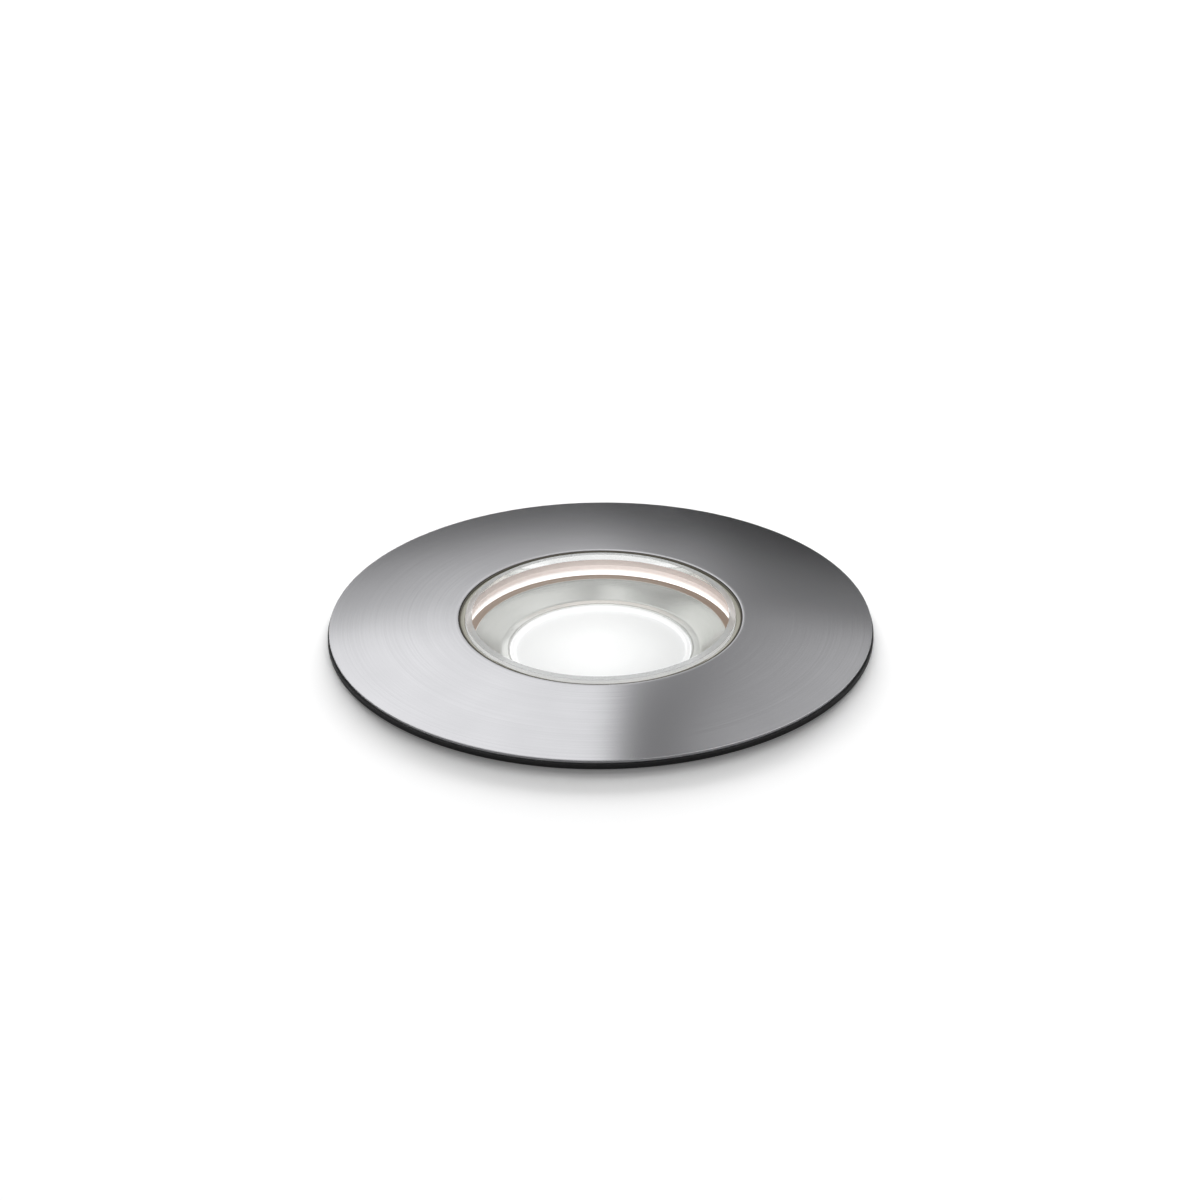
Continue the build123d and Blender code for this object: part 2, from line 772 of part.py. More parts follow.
# Rear cap: a round cover with a spigot in the driver bay and a groove for its seal
with BuildPart() as rear_cap:
    cap_radius = rear_screw_circle + boss_radius
    spigot_radius = cavity_radius - cap_spigot_gap
    spigot_top = housing_bottom + cap_spigot_height
    seal_inner = (cavity_radius + wall_radius - rear_seal_section) / 2
    gland_hole = gland_thread_radius + gland_fit_gap
    revolve(
        half_section(
            (gland_hole, cap_bottom),
            (cap_radius - cap_rim_width, cap_bottom),
            (cap_radius, cap_bottom + cap_rim_width),
            (cap_radius, housing_bottom),
            (seal_inner + rear_seal_section, housing_bottom),
            (seal_inner + rear_seal_section, housing_bottom - rear_seal_section),
            (seal_inner, housing_bottom - rear_seal_section),
            (seal_inner, housing_bottom),
            (spigot_radius, housing_bottom),
            (spigot_radius, spigot_top),
            (gland_hole, spigot_top),
        ),
        axis=Axis.Z,
    )
    with BuildSketch(Plane.XY.offset(cap_bottom)):
        with PolarLocations(rear_screw_circle, rear_screw_count, 180 / rear_screw_count):
            Circle(rear_screw_radius + screw_hole_gap)
    extrude(amount=cap_thickness, mode=Mode.SUBTRACT)
write(rear_cap, "rear_cap")

with BuildPart() as rear_seal:
    with BuildSketch(Plane.XZ):
        with Locations((seal_inner + rear_seal_section / 2, housing_bottom - rear_seal_section / 2)):
            Circle(rear_seal_section / 2)
    revolve(axis=Axis.Z)
write(rear_seal, "rear_seal")

with BuildPart() as rear_screw:
    with BuildSketch(Plane.XY.offset(cap_bottom)):
        Circle(rear_screw_radius)
    extrude(amount=cap_thickness + rear_screw_depth)
    with BuildSketch(Plane.XY.offset(cap_bottom)):
        Circle(rear_screw_head_radius)
    extrude(amount=-rear_screw_head_height)
    with BuildSketch(Plane.XY.offset(cap_bottom - rear_screw_head_height)):
        RegularPolygon(screw_drive_radius, 6)
    extrude(amount=screw_drive_depth, mode=Mode.SUBTRACT)

with BuildPart() as rear_screws:
    with PolarLocations(rear_screw_circle, rear_screw_count, 180 / rear_screw_count):
        add(rear_screw.part)
write(rear_screws, "rear_screws")

# Cable gland: body through the cap, locknut inside, and a nut that squeezes the rubber seal
with BuildPart() as gland_body:
    gland_bore = gland_neck_radius - gland_wall
    stub_top = spigot_top + gland_locknut_height
    with BuildSketch(Plane.XY.offset(cap_bottom)):
        RegularPolygon(gland_hex_across / 2, 6, major_radius=False)
    extrude(amount=-gland_hex_height)
    with BuildSketch(Plane.XY.offset(cap_bottom)):
        Circle(gland_thread_radius)
    extrude(amount=stub_top - cap_bottom)
    with BuildSketch(Plane.XY.offset(gland_hex_bottom)):
        Circle(gland_neck_radius)
    extrude(amount=-gland_neck_height)
    with BuildSketch(Plane.XY.offset(gland_neck_bottom)):
        Circle(gland_bore)
    extrude(amount=stub_top - gland_neck_bottom, mode=Mode.SUBTRACT)
write(gland_body, "gland_body")

with BuildPart() as gland_locknut:
    with BuildSketch(Plane.XY.offset(spigot_top)):
        RegularPolygon(gland_hex_across / 2, 6, major_radius=False)
        Circle(gland_hole, mode=Mode.SUBTRACT)
    extrude(amount=gland_locknut_height)
write(gland_locknut, "gland_locknut")

with BuildPart() as gland_seal:
    with BuildSketch(Plane.XY.offset(gland_neck_bottom)):
        Circle(gland_bore - gland_fit_gap)
        Circle(cable_radius, mode=Mode.SUBTRACT)
    extrude(amount=gland_seal_height)
write(gland_seal, "gland_seal")

with BuildPart() as gland_nut:
    nut_grip_bottom = gland_nut_top - gland_nut_height / 2
    nut_mouth = cable_radius + gland_mouth_wall
    nut_inside = gland_neck_radius + gland_fit_gap
    neck_room = gland_neck_bottom - gland_fit_gap
    with BuildSketch(Plane.XY.offset(gland_nut_top)):
        RegularPolygon(gland_hex_across / 2, 6, major_radius=False)
    extrude(amount=-gland_nut_height / 2)
    with BuildSketch(Plane.XZ):
        with BuildLine():
            dome_start = (gland_hex_across / 2, nut_grip_bottom)
            dome_end = (nut_mouth, gland_nut_bottom)
            Polyline(dome_end, (0, gland_nut_bottom), (0, nut_grip_bottom), dome_start)
            TangentArc(dome_start, dome_end, tangent=(0, -1))
        make_face()
    revolve(axis=Axis.Z)
    revolve(
        half_section(
            (0, gland_nut_top),
            (nut_inside, gland_nut_top),
            (nut_inside, neck_room),
            (gland_bore, neck_room),
            (cable_radius + gland_fit_gap, gland_nut_bottom),
            (0, gland_nut_bottom),
        ),
        axis=Axis.Z,
        mode=Mode.SUBTRACT,
    )
write(gland_nut, "gland_nut")

# Spring clips: each bracket, pin, spring and arm is drawn facing +X, then turned to its place
ear_inner = clip_arm_width / 2 + clip_side_gap
ear_outer = ear_inner + clip_sheet
plate_face = clip_pad_face + clip_sheet
eye_radius = clip_pin_radius + clip_pin_gap + clip_eye_wall
clip_turns = PolarLocations(0, clip_count, clip_start_angle)

with BuildPart() as bracket:
    with BuildSketch(Plane.YZ.offset(clip_pad_face)):
        with Locations((0, clip_pivot_level)):
            Rectangle(2 * ear_outer, bracket_screw_spacing + 2 * bracket_end_margin)
            with GridLocations(0, bracket_screw_spacing, 1, 2):
                Circle(bracket_screw_radius + screw_hole_gap, mode=Mode.SUBTRACT)
    extrude(amount=clip_sheet)
    with BuildSketch(Plane.XZ):
        with Locations((clip_pivot_radius, clip_pivot_level)):
            Circle(clip_ear_reach)
            ear_run = clip_pivot_radius - clip_pad_face
            Rectangle(ear_run, 2 * clip_ear_reach, align=(Align.MAX, Align.CENTER))
    extrude(amount=ear_outer, both=True)
    with BuildSketch(Plane.XZ):
        with Locations((plate_face, clip_pivot_level)):
            slot_run = clip_pivot_offset + clip_ear_reach
            Rectangle(slot_run, 2 * clip_ear_reach, align=(Align.MIN, Align.CENTER))
    extrude(amount=ear_inner, both=True, mode=Mode.SUBTRACT)
    with BuildSketch(Plane.XZ):
        with Locations((clip_pivot_radius, clip_pivot_level)):
            Circle(clip_pin_radius + clip_pin_gap)
    extrude(amount=ear_outer, both=True, mode=Mode.SUBTRACT)

with BuildPart() as clip_brackets:
    with PolarLocations(0, clip_count, clip_start_angle):
        add(bracket.part)
write(clip_brackets, "clip_brackets")

with BuildPart() as bracket_screw_pair:
    with BuildSketch(Plane.YZ.offset(clip_pad_face - bracket_screw_depth)):
        with Locations((0, clip_pivot_level)):
            with GridLocations(0, bracket_screw_spacing, 1, 2):
                Circle(bracket_screw_radius)
    extrude(amount=bracket_screw_depth + clip_sheet)
    with BuildSketch(Plane.YZ.offset(plate_face)):
        with Locations((0, clip_pivot_level)):
            with GridLocations(0, bracket_screw_spacing, 1, 2):
                Circle(bracket_screw_head_radius)
    extrude(amount=bracket_screw_head_height)

with BuildPart() as bracket_screws:
    with PolarLocations(0, clip_count, clip_start_angle):
        add(bracket_screw_pair.part)
write(bracket_screws, "bracket_screws")

with BuildPart() as pin:
    with BuildSketch(Plane.XZ):
        with Locations((clip_pivot_radius, clip_pivot_level)):
            Circle(clip_pin_radius)
    extrude(amount=ear_outer, both=True)
    with BuildSketch(Plane.XZ.offset(ear_outer), Plane.XZ.offset(-ear_outer - clip_sheet)):
        with Locations((clip_pivot_radius, clip_pivot_level)):
            Circle(clip_pin_radius + clip_sheet / 2)
    extrude(amount=clip_sheet)

with BuildPart() as clip_pins:
    with PolarLocations(0, clip_count, clip_start_angle):
        add(pin.part)
write(clip_pins, "clip_pins")

with BuildPart() as arm:
    arm_half = clip_sheet / 2
    tip_face = sqrt((sleeve_bore - clip_tip_gap) ** 2 - (clip_arm_width / 2) ** 2)
    arm_top = clip_pivot_level + clip_arm_length
    knee_level = arm_top - clip_tip_bend
    arm_foot = clip_pivot_radius + eye_radius - arm_half
    spring_room = clip_pin_radius + clip_spring_gap + 3 * clip_spring_wire
    with BuildSketch(Plane.XZ):
        with BuildLine():
            Polyline(
                (arm_foot - arm_half, clip_pivot_level),
                (arm_foot + arm_half, clip_pivot_level),
                (tip_face, knee_level),
                (tip_face - clip_sheet, arm_top),
                (tip_face - 2 * clip_sheet, arm_top),
                (tip_face - clip_sheet, knee_level),
                close=True,
            )
        make_face()
    extrude(amount=clip_arm_width / 2, both=True)
    with BuildSketch(Plane.XZ.offset(-clip_arm_width / 2)):
        with Locations((clip_pivot_radius, clip_pivot_level)):
            Rectangle(4 * eye_radius, 2 * spring_room)
    extrude(amount=clip_arm_width - clip_eye_width, mode=Mode.SUBTRACT)
    with BuildSketch(Plane.XZ.offset(clip_arm_width / 2)):
        with Locations((clip_pivot_radius, clip_pivot_level)):
            Circle(eye_radius)
    extrude(amount=-clip_eye_width)
    with BuildSketch(Plane.XZ.offset(clip_arm_width / 2)):
        with Locations((clip_pivot_radius, clip_pivot_level)):
            Circle(clip_pin_radius + clip_pin_gap)
    extrude(amount=-clip_eye_width, mode=Mode.SUBTRACT)

for index, place in enumerate(clip_turns):
    with BuildPart() as spring_clip:
        with Locations(place):
            add(arm.part)
    write(spring_clip, f"spring_clip_{'ab'[index]}")

# Torsion spring: a coil round the pin with a leg up behind the arm and a leg down on the plate
coil_radius = clip_pin_radius + clip_spring_gap + clip_spring_wire
coil_start = clip_arm_width / 2 - clip_spring_wire - clip_side_gap
quarters = 4 * clip_spring_turns


def coil_point(quarter):
    """The coil's centre line after a number of quarter turns."""
    angle = pi + quarter * pi / 2
    return Vector(
        clip_pivot_radius + coil_radius * cos(angle),
        coil_start - clip_spring_pitch * quarter / 4,
        clip_pivot_level - coil_radius * sin(angle),
    )


coil_rise = Vector(0, -clip_spring_pitch, 2 * pi * coil_radius).normalized()

with BuildPart() as torsion_spring:
    with BuildLine() as coil:
        run = Line(coil_point(0) - coil_rise * clip_spring_leg, coil_point(0))
        for quarter in range(quarters):
            run = TangentArc(coil_point(quarter), coil_point(quarter + 1), tangent=run % 1)
        Line(coil_point(quarters), coil_point(quarters) + (run % 1) * clip_spring_leg)
    coil_wire = coil.wires()[0]
    with BuildSketch(Plane(coil_wire @ 0, z_dir=coil_wire % 0)):
        Circle(clip_spring_wire)
    sweep(path=coil_wire)

sample_count = 60 * clip_spring_turns
samples = [coil_wire @ (step / sample_count) for step in range(sample_count + 1)]
apart = 8 * clip_spring_wire
coil_gap = min(
    (one - other).length - 2 * clip_spring_wire
    for step, one in enumerate(samples)
    for later, other in enumerate(samples[step:])
    if later * coil_wire.length / sample_count > apart
)
print(f"least gap between the coil's turns: {coil_gap:.2f} mm")

with BuildPart() as clip_springs:
    with PolarLocations(0, clip_count, clip_start_angle):
        add(torsion_spring.part)
write(clip_springs, "clip_springs")

# Sleeve: a moulded tube with a collar that takes the lamp's flange, anchor ribs and two cable entries
with BuildPart() as mounting_sleeve:
    foot_level = -sleeve_depth
    foot_inner = sleeve_bore - sleeve_foot_width
    collar_taper = sleeve_collar_radius - sleeve_tube_radius
    revolve(
        half_section(
            (sleeve_counterbore, -sleeve_lead_in),
            (sleeve_counterbore + sleeve_lead_in, 0),
            (sleeve_collar_radius, 0),
            (sleeve_collar_radius, -sleeve_collar_depth),
            (sleeve_tube_radius, -sleeve_collar_depth - collar_taper),
            (sleeve_tube_radius, foot_level),
            (foot_inner, foot_level),
            (foot_inner, foot_level + sleeve_foot_thickness),
            (sleeve_bore, foot_level + sleeve_foot_thickness),
            (sleeve_bore, flange_bottom),
            (sleeve_counterbore, flange_bottom),
        ),
        axis=Axis.Z,
    )
    # Ring ribs and upright webs that anchor the sleeve
    tube_middle = (sleeve_bore + sleeve_tube_radius) / 2
    rib_pitch = (sleeve_depth - sleeve_collar_depth) / (sleeve_rib_count + 1)
    rib_planes = [
        Plane.XY.offset(foot_level + rib_pitch * (rib + 1)) for rib in range(sleeve_rib_count)
    ]
    with BuildSketch(*rib_planes):
        Circle(sleeve_collar_radius - sleeve_rib_inset)
        Circle(tube_middle, mode=Mode.SUBTRACT)
    extrude(amount=sleeve_rib_thickness / 2, both=True)
    web_reach = sleeve_collar_radius - sleeve_web_inset - tube_middle
    with BuildSketch(Plane.XY.offset(foot_level)):
        with PolarLocations(tube_middle + web_reach / 2, sleeve_web_count, 180 / sleeve_web_count):
            Rectangle(web_reach, sleeve_web_thickness)
    extrude(amount=sleeve_depth - sleeve_collar_depth)
    # Flat bosses and holes for the side cable entries
    boss_face = sleeve_tube_radius + grommet_boss_reach
    boss_size = grommet_radius + grommet_lip
    for entry in range(grommet_count):
        entry_angle = entry * 360 / grommet_count
        with BuildSketch(outward_plane(entry_angle, tube_middle)):
            with Locations((0, grommet_level)):
                Circle(boss_size)
        extrude(amount=boss_face - tube_middle)
        with BuildSketch(outward_plane(entry_angle, boss_face)):
            with Locations((0, grommet_level)):
                Circle(boss_size + grommet_lip_thickness)
        extrude(amount=sleeve_collar_radius - boss_face, mode=Mode.SUBTRACT)
        with BuildSketch(outward_plane(entry_angle, foot_inner)):
            with Locations((0, grommet_level)):
                Circle(grommet_radius + grommet_fit_gap)
        extrude(amount=boss_face - foot_inner, mode=Mode.SUBTRACT)
write(mounting_sleeve, "mounting_sleeve")

with BuildPart() as grommet:
    inner_face = sqrt(sleeve_bore**2 - boss_size**2) - grommet_fit_gap
    entry_axis = Axis((0, 0, grommet_level), (1, 0, 0))
    with BuildSketch(upright_plane(0, grommet_level)):
        with BuildLine():
            Polyline(
                (inner_face - grommet_lip_thickness, side_cable_radius),
                (inner_face - grommet_lip_thickness, grommet_radius),
                (inner_face, boss_size - grommet_lip / 2),
                (inner_face, grommet_radius),
                (boss_face, grommet_radius),
                (boss_face, boss_size),
                (boss_face + grommet_lip_thickness, boss_size - grommet_lip / 2),
                (boss_face + grommet_lip_thickness, side_cable_radius),
                close=True,
            )
        make_face()
    revolve(axis=entry_axis)

with BuildPart() as cable_grommets:
    with PolarLocations(0, grommet_count):
        add(grommet.part)
write(cable_grommets, "cable_grommets")
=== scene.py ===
import math

import bpy
import numpy as np
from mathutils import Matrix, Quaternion, Vector


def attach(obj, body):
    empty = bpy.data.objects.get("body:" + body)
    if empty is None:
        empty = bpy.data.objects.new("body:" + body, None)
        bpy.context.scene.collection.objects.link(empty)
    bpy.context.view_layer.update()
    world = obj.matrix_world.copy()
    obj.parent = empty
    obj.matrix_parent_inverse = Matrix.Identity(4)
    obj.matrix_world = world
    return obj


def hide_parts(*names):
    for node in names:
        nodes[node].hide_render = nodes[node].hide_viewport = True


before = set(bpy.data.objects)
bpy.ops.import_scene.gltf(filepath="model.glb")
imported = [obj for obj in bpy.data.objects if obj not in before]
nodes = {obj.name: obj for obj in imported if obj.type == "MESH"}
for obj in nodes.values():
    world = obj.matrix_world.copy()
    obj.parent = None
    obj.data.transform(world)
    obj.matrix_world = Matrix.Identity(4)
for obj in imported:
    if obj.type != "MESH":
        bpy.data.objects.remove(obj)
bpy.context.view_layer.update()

scene = bpy.context.scene
mm = 0.001
fullTurn = 2 * math.pi
around = 288             # steps in a full turn of the turned pieces
print("frame loaded:", len(nodes), "nodes")


# Small tools: colour, nodes, outlines and turning

def linear(hexColour):
    # sRGB to linear light: c/12.92 near black, else ((c + 0.055)/1.055) to the power 2.4
    srgb = np.array([int(hexColour[i:i + 2], 16) for i in (1, 3, 5)]) / 255
    low, high = srgb / 12.92, ((srgb + 0.055) / 1.055) ** 2.4
    return (*np.where(srgb <= 0.04045, low, high).tolist(), 1.0)


def greys(*tones):       # colour stops from places and two-digit sRGB levels; the ramp's two ends come first
    return [(place, "#" + 3 * level) for place, level in tones]


def put(tree, kind, sockets=None, stops=(), **settings):
    # one node: its settings, colour stops, constants and links
    made = tree.nodes.new(kind)
    for name, value in settings.items():
        setattr(made, name, value)
    for index, (place, colour) in enumerate(stops):
        steps = made.color_ramp.elements
        stop = steps[index] if index < 2 else steps.new(place)
        stop.position = place
        stop.color = linear(colour)
    for key, value in (sockets or {}).items():
        if isinstance(value, bpy.types.NodeSocket):
            tree.links.new(value, made.inputs[key])
        else:
            made.inputs[key].default_value = value
    return made


def material(name, **sockets):
    # a new material's tree and its Principled shader with constants set on it; underscores stand for spaces
    made = bpy.data.materials.new(name)
    made.use_nodes = True
    shader = made.node_tree.nodes["Principled BSDF"]
    for key, value in sockets.items():
        shader.inputs[key.replace("_", " ")].default_value = value
    return made, made.node_tree, shader


def feed(tree, shader, **outputs):   # links computed values to the shader's sockets
    for key, output in outputs.items():
        tree.links.new(output, shader.inputs[key.replace("_", " ")])


def fromAxis(tree, place):
    # the point brought down to the level plane, and its distance from the object's upright axis
    flat = put(tree, "ShaderNodeVectorMath", {0: place, 1: (1, 1, 0)}, operation="MULTIPLY").outputs[0]
    return flat, put(tree, "ShaderNodeVectorMath", {0: flat}, operation="LENGTH").outputs["Value"]


def rounded(corners, steps=6, reach=0.06):
    # a closed outline from corners of radius, level and round in mm: each becomes an arc that touches both
    # its sides, with its centre on the bisector, at round / sin(half angle)
    table = np.array(corners, float)
    points, radius = table[:, :2], table[:, 2:] + 1e-9
    back = np.roll(points, 1, 0) - points
    ahead = np.roll(points, -1, 0) - points
    back /= np.linalg.norm(back, axis=1, keepdims=True)
    ahead /= np.linalg.norm(ahead, axis=1, keepdims=True)
    half = np.arccos(np.clip((back * ahead).sum(1, keepdims=True), -1, 1)) / 2
    middle = back + ahead
    middle /= np.linalg.norm(middle, axis=1, keepdims=True) + 1e-12
    centre = points + middle * radius / np.sin(half)
    start = points + back * radius / np.tan(half) - centre
    end = points + ahead * radius / np.tan(half) - centre
    first = np.arctan2(start[:, 1], start[:, 0])[:, None]
    sweep = np.arctan2(end[:, 1], end[:, 0])[:, None] - first
    sweep = (sweep + math.pi) % fullTurn - math.pi
    angle = first + sweep * np.linspace(0, 1, steps + 1)
    arcs = centre[:, None, :] + radius[:, None, :] * np.stack([np.cos(angle), np.sin(angle)], 2)
    run = np.roll(arcs[:, 0], -1, 0) - arcs[:, -1]   # the straight to the next arc
    length = np.linalg.norm(run, axis=1, keepdims=True)
    hold = run / (length + 1e-12) * np.minimum(length / 3, reach)   # a point near each end keeps it flat
    held = np.stack([arcs[:, -1] + hold, np.roll(arcs[:, 0], -1, 0) - hold], 1)
    line = np.concatenate([arcs, held], 1).reshape(-1, 2)
    return line[np.linalg.norm(line - np.roll(line, 1, 0), axis=1) > 1e-6]


def turned(name, outline, sharp=35, steps=around):
    # a lathe: the outline's point (r, z) in mm goes to (r cos a, r sin a, z) for every angle a; an outline
    # that starts and ends on the axis is closed there by a flat face
    line = np.asarray(outline, float)
    poles = line[:, 0] < 0.1
    ring = line[~poles]
    count = len(ring)
    angle = np.arange(steps) * fullTurn / steps
    grid = np.stack([
        np.outer(np.cos(angle), ring[:, 0]),
        np.outer(np.sin(angle), ring[:, 0]),
        np.broadcast_to(ring[:, 1], (steps, count)),
    ], 2).reshape(-1, 3)
    turn = np.arange(steps)[:, None]
    step = np.arange(count if not poles.any() else count - 1)[None, :]
    nextTurn, nextStep = (turn + 1) % steps, (step + 1) % count
    quads = np.stack([turn * count + step, nextTurn * count + step,
                      nextTurn * count + nextStep, turn * count + nextStep], 2).reshape(-1, 4)
    length = np.concatenate([[0], np.cumsum(np.linalg.norm(np.diff(ring, axis=0), axis=1))])
    length = np.append(length, length[-1] + np.linalg.norm(ring[0] - ring[-1]))
    shape = (steps, step.size, 4)
    across = np.stack([length[step], length[step], length[step + 1], length[step + 1]], 2)
    along = np.stack([turn, turn + 1, turn + 1, turn], 2) / steps
    uv = np.stack([np.broadcast_to(across, shape), np.broadcast_to(along, shape)], 3).reshape(-1, 2)
    faces = quads.tolist()
    if poles.any():
        flat = turn[:, 0]
        faces += [(flat[::-1] * count).tolist(), (flat * count + count - 1).tolist()]
        uv = np.vstack([uv, np.zeros((2 * steps, 2))])
    mesh = bpy.data.meshes.new(name)
    mesh.from_pydata((grid * mm).tolist(), [], faces)
    mesh.uv_layers.new(name="turning").data.foreach_set("uv", uv.astype(np.float32).ravel())
    mesh.shade_smooth()
    mesh.set_sharp_from_angle(angle=math.radians(sharp))
    mesh.update()
    made = bpy.data.objects.new(name, mesh)
    scene.collection.objects.link(made)
    return made


def dress(piece, finish):   # one finish all over
    piece.data.materials.clear()
    piece.data.materials.append(finish)


def stand(piece, finish, body, node):   # the piece takes a node's place on its body
    dress(piece, finish)
    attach(piece, body)
    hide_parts(node)


# Finishes

def mottled(name, dark, pale, roughness, grain, relief, inside=None, **sockets):
    # a plain surface with grain: two close colours and the gloss follow one noise of the grain's size in mm,
    # uneven over patches nine grains wide, and the relief follows it too; within a given radius in mm another
    # colour may take over, with a painted glow that stands in for the lens's light there
    made, tree, shader = material(name, **sockets)
    place = put(tree, "ShaderNodeTexCoord").outputs["Object"]
    noise = put(tree, "ShaderNodeTexNoise", {"Vector": place, "Scale": 1 / (grain * mm), "Detail": 3.0,
                                             "Roughness": 0.5}).outputs["Fac"]
    patch = put(tree, "ShaderNodeTexNoise", {"Vector": place, "Scale": 1 / (9 * grain * mm),
                                             "Detail": 3.0}).outputs["Fac"]
    both = put(tree, "ShaderNodeMath", {0: noise, 1: patch}, operation="MULTIPLY").outputs[0]
    span = {"Value": both, "From Min": 0.12, "From Max": 0.4}   # where most of the product lies
    shade = put(tree, "ShaderNodeMapRange", span).outputs[0]
    gloss = put(tree, "ShaderNodeMapRange", {**span, "To Min": roughness[0],
                                             "To Max": roughness[1]}).outputs[0]
    colour = put(tree, "ShaderNodeMix", {0: shade, 6: linear(dark), 7: linear(pale)},
                 data_type="RGBA").outputs[2]
    bump = put(tree, "ShaderNodeBump", {"Height": noise, "Strength": 0.6, "Distance": relief * mm}).outputs[0]
    # painted glow: inside the radius the tone turns brown and glows, standing in for the lens's light in the
    # cavity
    if inside:
        edge, tone, light = inside
        radius = fromAxis(tree, place)[1]
        deep = put(tree, "ShaderNodeMapRange", {"Value": radius, "From Min": (edge + 0.5) * mm,
                                                "From Max": edge * mm}).outputs[0]
        colour = put(tree, "ShaderNodeMix", {0: deep, 6: colour, 7: linear(tone)},
                     data_type="RGBA").outputs[2]
        lit = put(tree, "ShaderNodeMath", {0: deep, 1: light}, operation="MULTIPLY").outputs[0]
        feed(tree, shader, Emission_Color=colour, Emission_Strength=lit)
    feed(tree, shader, Base_Color=colour, Roughness=gloss, Normal=bump)
    return made


def turnedMetal(name, dark, pale, roughness, line, relief, glow=(), spun=True, **sockets):
    # metal faced on a lathe: fine rings a line's width in mm apart, broken a little along each ring and
    # uneven over broad patches
    made, tree, shader = material(name, **sockets)
    place = put(tree, "ShaderNodeTexCoord").outputs["Object"]
    flat, radius = fromAxis(tree, place)
    facing = put(tree, "ShaderNodeVectorMath", {0: flat}, operation="NORMALIZE").outputs[0]
    across = put(tree, "ShaderNodeMath", {0: radius, 1: 1 / (line * mm)}, operation="MULTIPLY").outputs[0]
    lift = put(tree, "ShaderNodeCombineXYZ", {"X": 0.0, "Y": 0.0, "Z": across}).outputs[0]
    spread = put(tree, "ShaderNodeVectorMath", {0: facing, "Scale": 0.7}, operation="SCALE").outputs[0]
    where = put(tree, "ShaderNodeVectorMath", {0: lift, 1: spread}, operation="ADD").outputs[0]
    rings = put(tree, "ShaderNodeTexNoise", {"Vector": where, "Scale": 1.0, "Detail": 3.0,
                                             "Roughness": 0.55}).outputs["Fac"]
    broad = put(tree, "ShaderNodeTexNoise", {"Vector": place, "Scale": 1 / (18 * mm),
                                             "Detail": 2.0}).outputs["Fac"]
    both = put(tree, "ShaderNodeMath", {0: rings, 1: broad, 2: 0.12}, operation="MULTIPLY_ADD").outputs[0]
    span = {"Value": both, "From Min": 0.22, "From Max": 0.52}   # where most of the two noises lies
    shade = put(tree, "ShaderNodeMapRange", span).outputs[0]
    gloss = put(tree, "ShaderNodeMapRange", {**span, "To Min": roughness[1],
                                             "To Max": roughness[0]}).outputs[0]
    colour = put(tree, "ShaderNodeMix", {0: shade, 6: linear(dark), 7: linear(pale)},
                 data_type="RGBA").outputs[2]
    bump = put(tree, "ShaderNodeBump", {"Height": rings, "Strength": 0.5, "Distance": relief * mm}).outputs[0]
    if spun:             # highlights drawn out across the rings
        tangent = put(tree, "ShaderNodeTangent", direction_type="UV_MAP", uv_map="turning").outputs[0]
        feed(tree, shader, Tangent=tangent)
    if glow:             # a painted glow standing in for a lens's light on it: tones at radii in mm, the inner and outer ends first
        reach = glow[1][0] * mm
        out = put(tree, "ShaderNodeMath", {0: radius, 1: 1 / reach}, operation="MULTIPLY").outputs[0]
        lit = put(tree, "ShaderNodeValToRGB", {0: out},
                  stops=[(ring * mm / reach, tone) for ring, tone in glow])
        feed(tree, shader, Emission_Color=lit.outputs[0])
        shader.inputs["Emission Strength"].default_value = 1.0
    feed(tree, shader, Base_Color=colour, Roughness=gloss, Normal=bump)
    return made


def clearGlass():
    # clear float glass, fire polished: sharp refraction, and lamps shine through it
    made, tree, shader = material("clear_glass", Base_Color=linear("#FFFFFF"), Roughness=0.0, IOR=1.52,
                                  Transmission_Weight=1.0)
    shadow = put(tree, "ShaderNodeLightPath").outputs["Is Shadow Ray"]
    through = put(tree, "ShaderNodeBsdfTransparent", {"Color": linear("#FAFBFB")}).outputs[0]
    mix = put(tree, "ShaderNodeMixShader", {0: shadow, 1: shader.outputs[0], 2: through})
    tree.links.new(mix.outputs[0], tree.nodes["Material Output"].inputs["Surface"])
    return made


# tones from the top down: painted shade at the top edge, olive, pink with a painted glow, white with a
# brighter painted glow at the brim
siliconeLook = dict(featherShadeTone="#5A564C", upper="#BDBBAF", lower="#E8DAD4", brim="#F6F6F5",   # from the top down
                    featherShadeFrom=3.47, featherShadeFull=3.57, upperEnd=0.6, lowerFull=-2.6,      # levels in mm
                    brimFrom=-4.3, brimFull=-5.4, glow=0.34, cloud=0.08, brimPaintedGlow=0.8, grain=0.9)


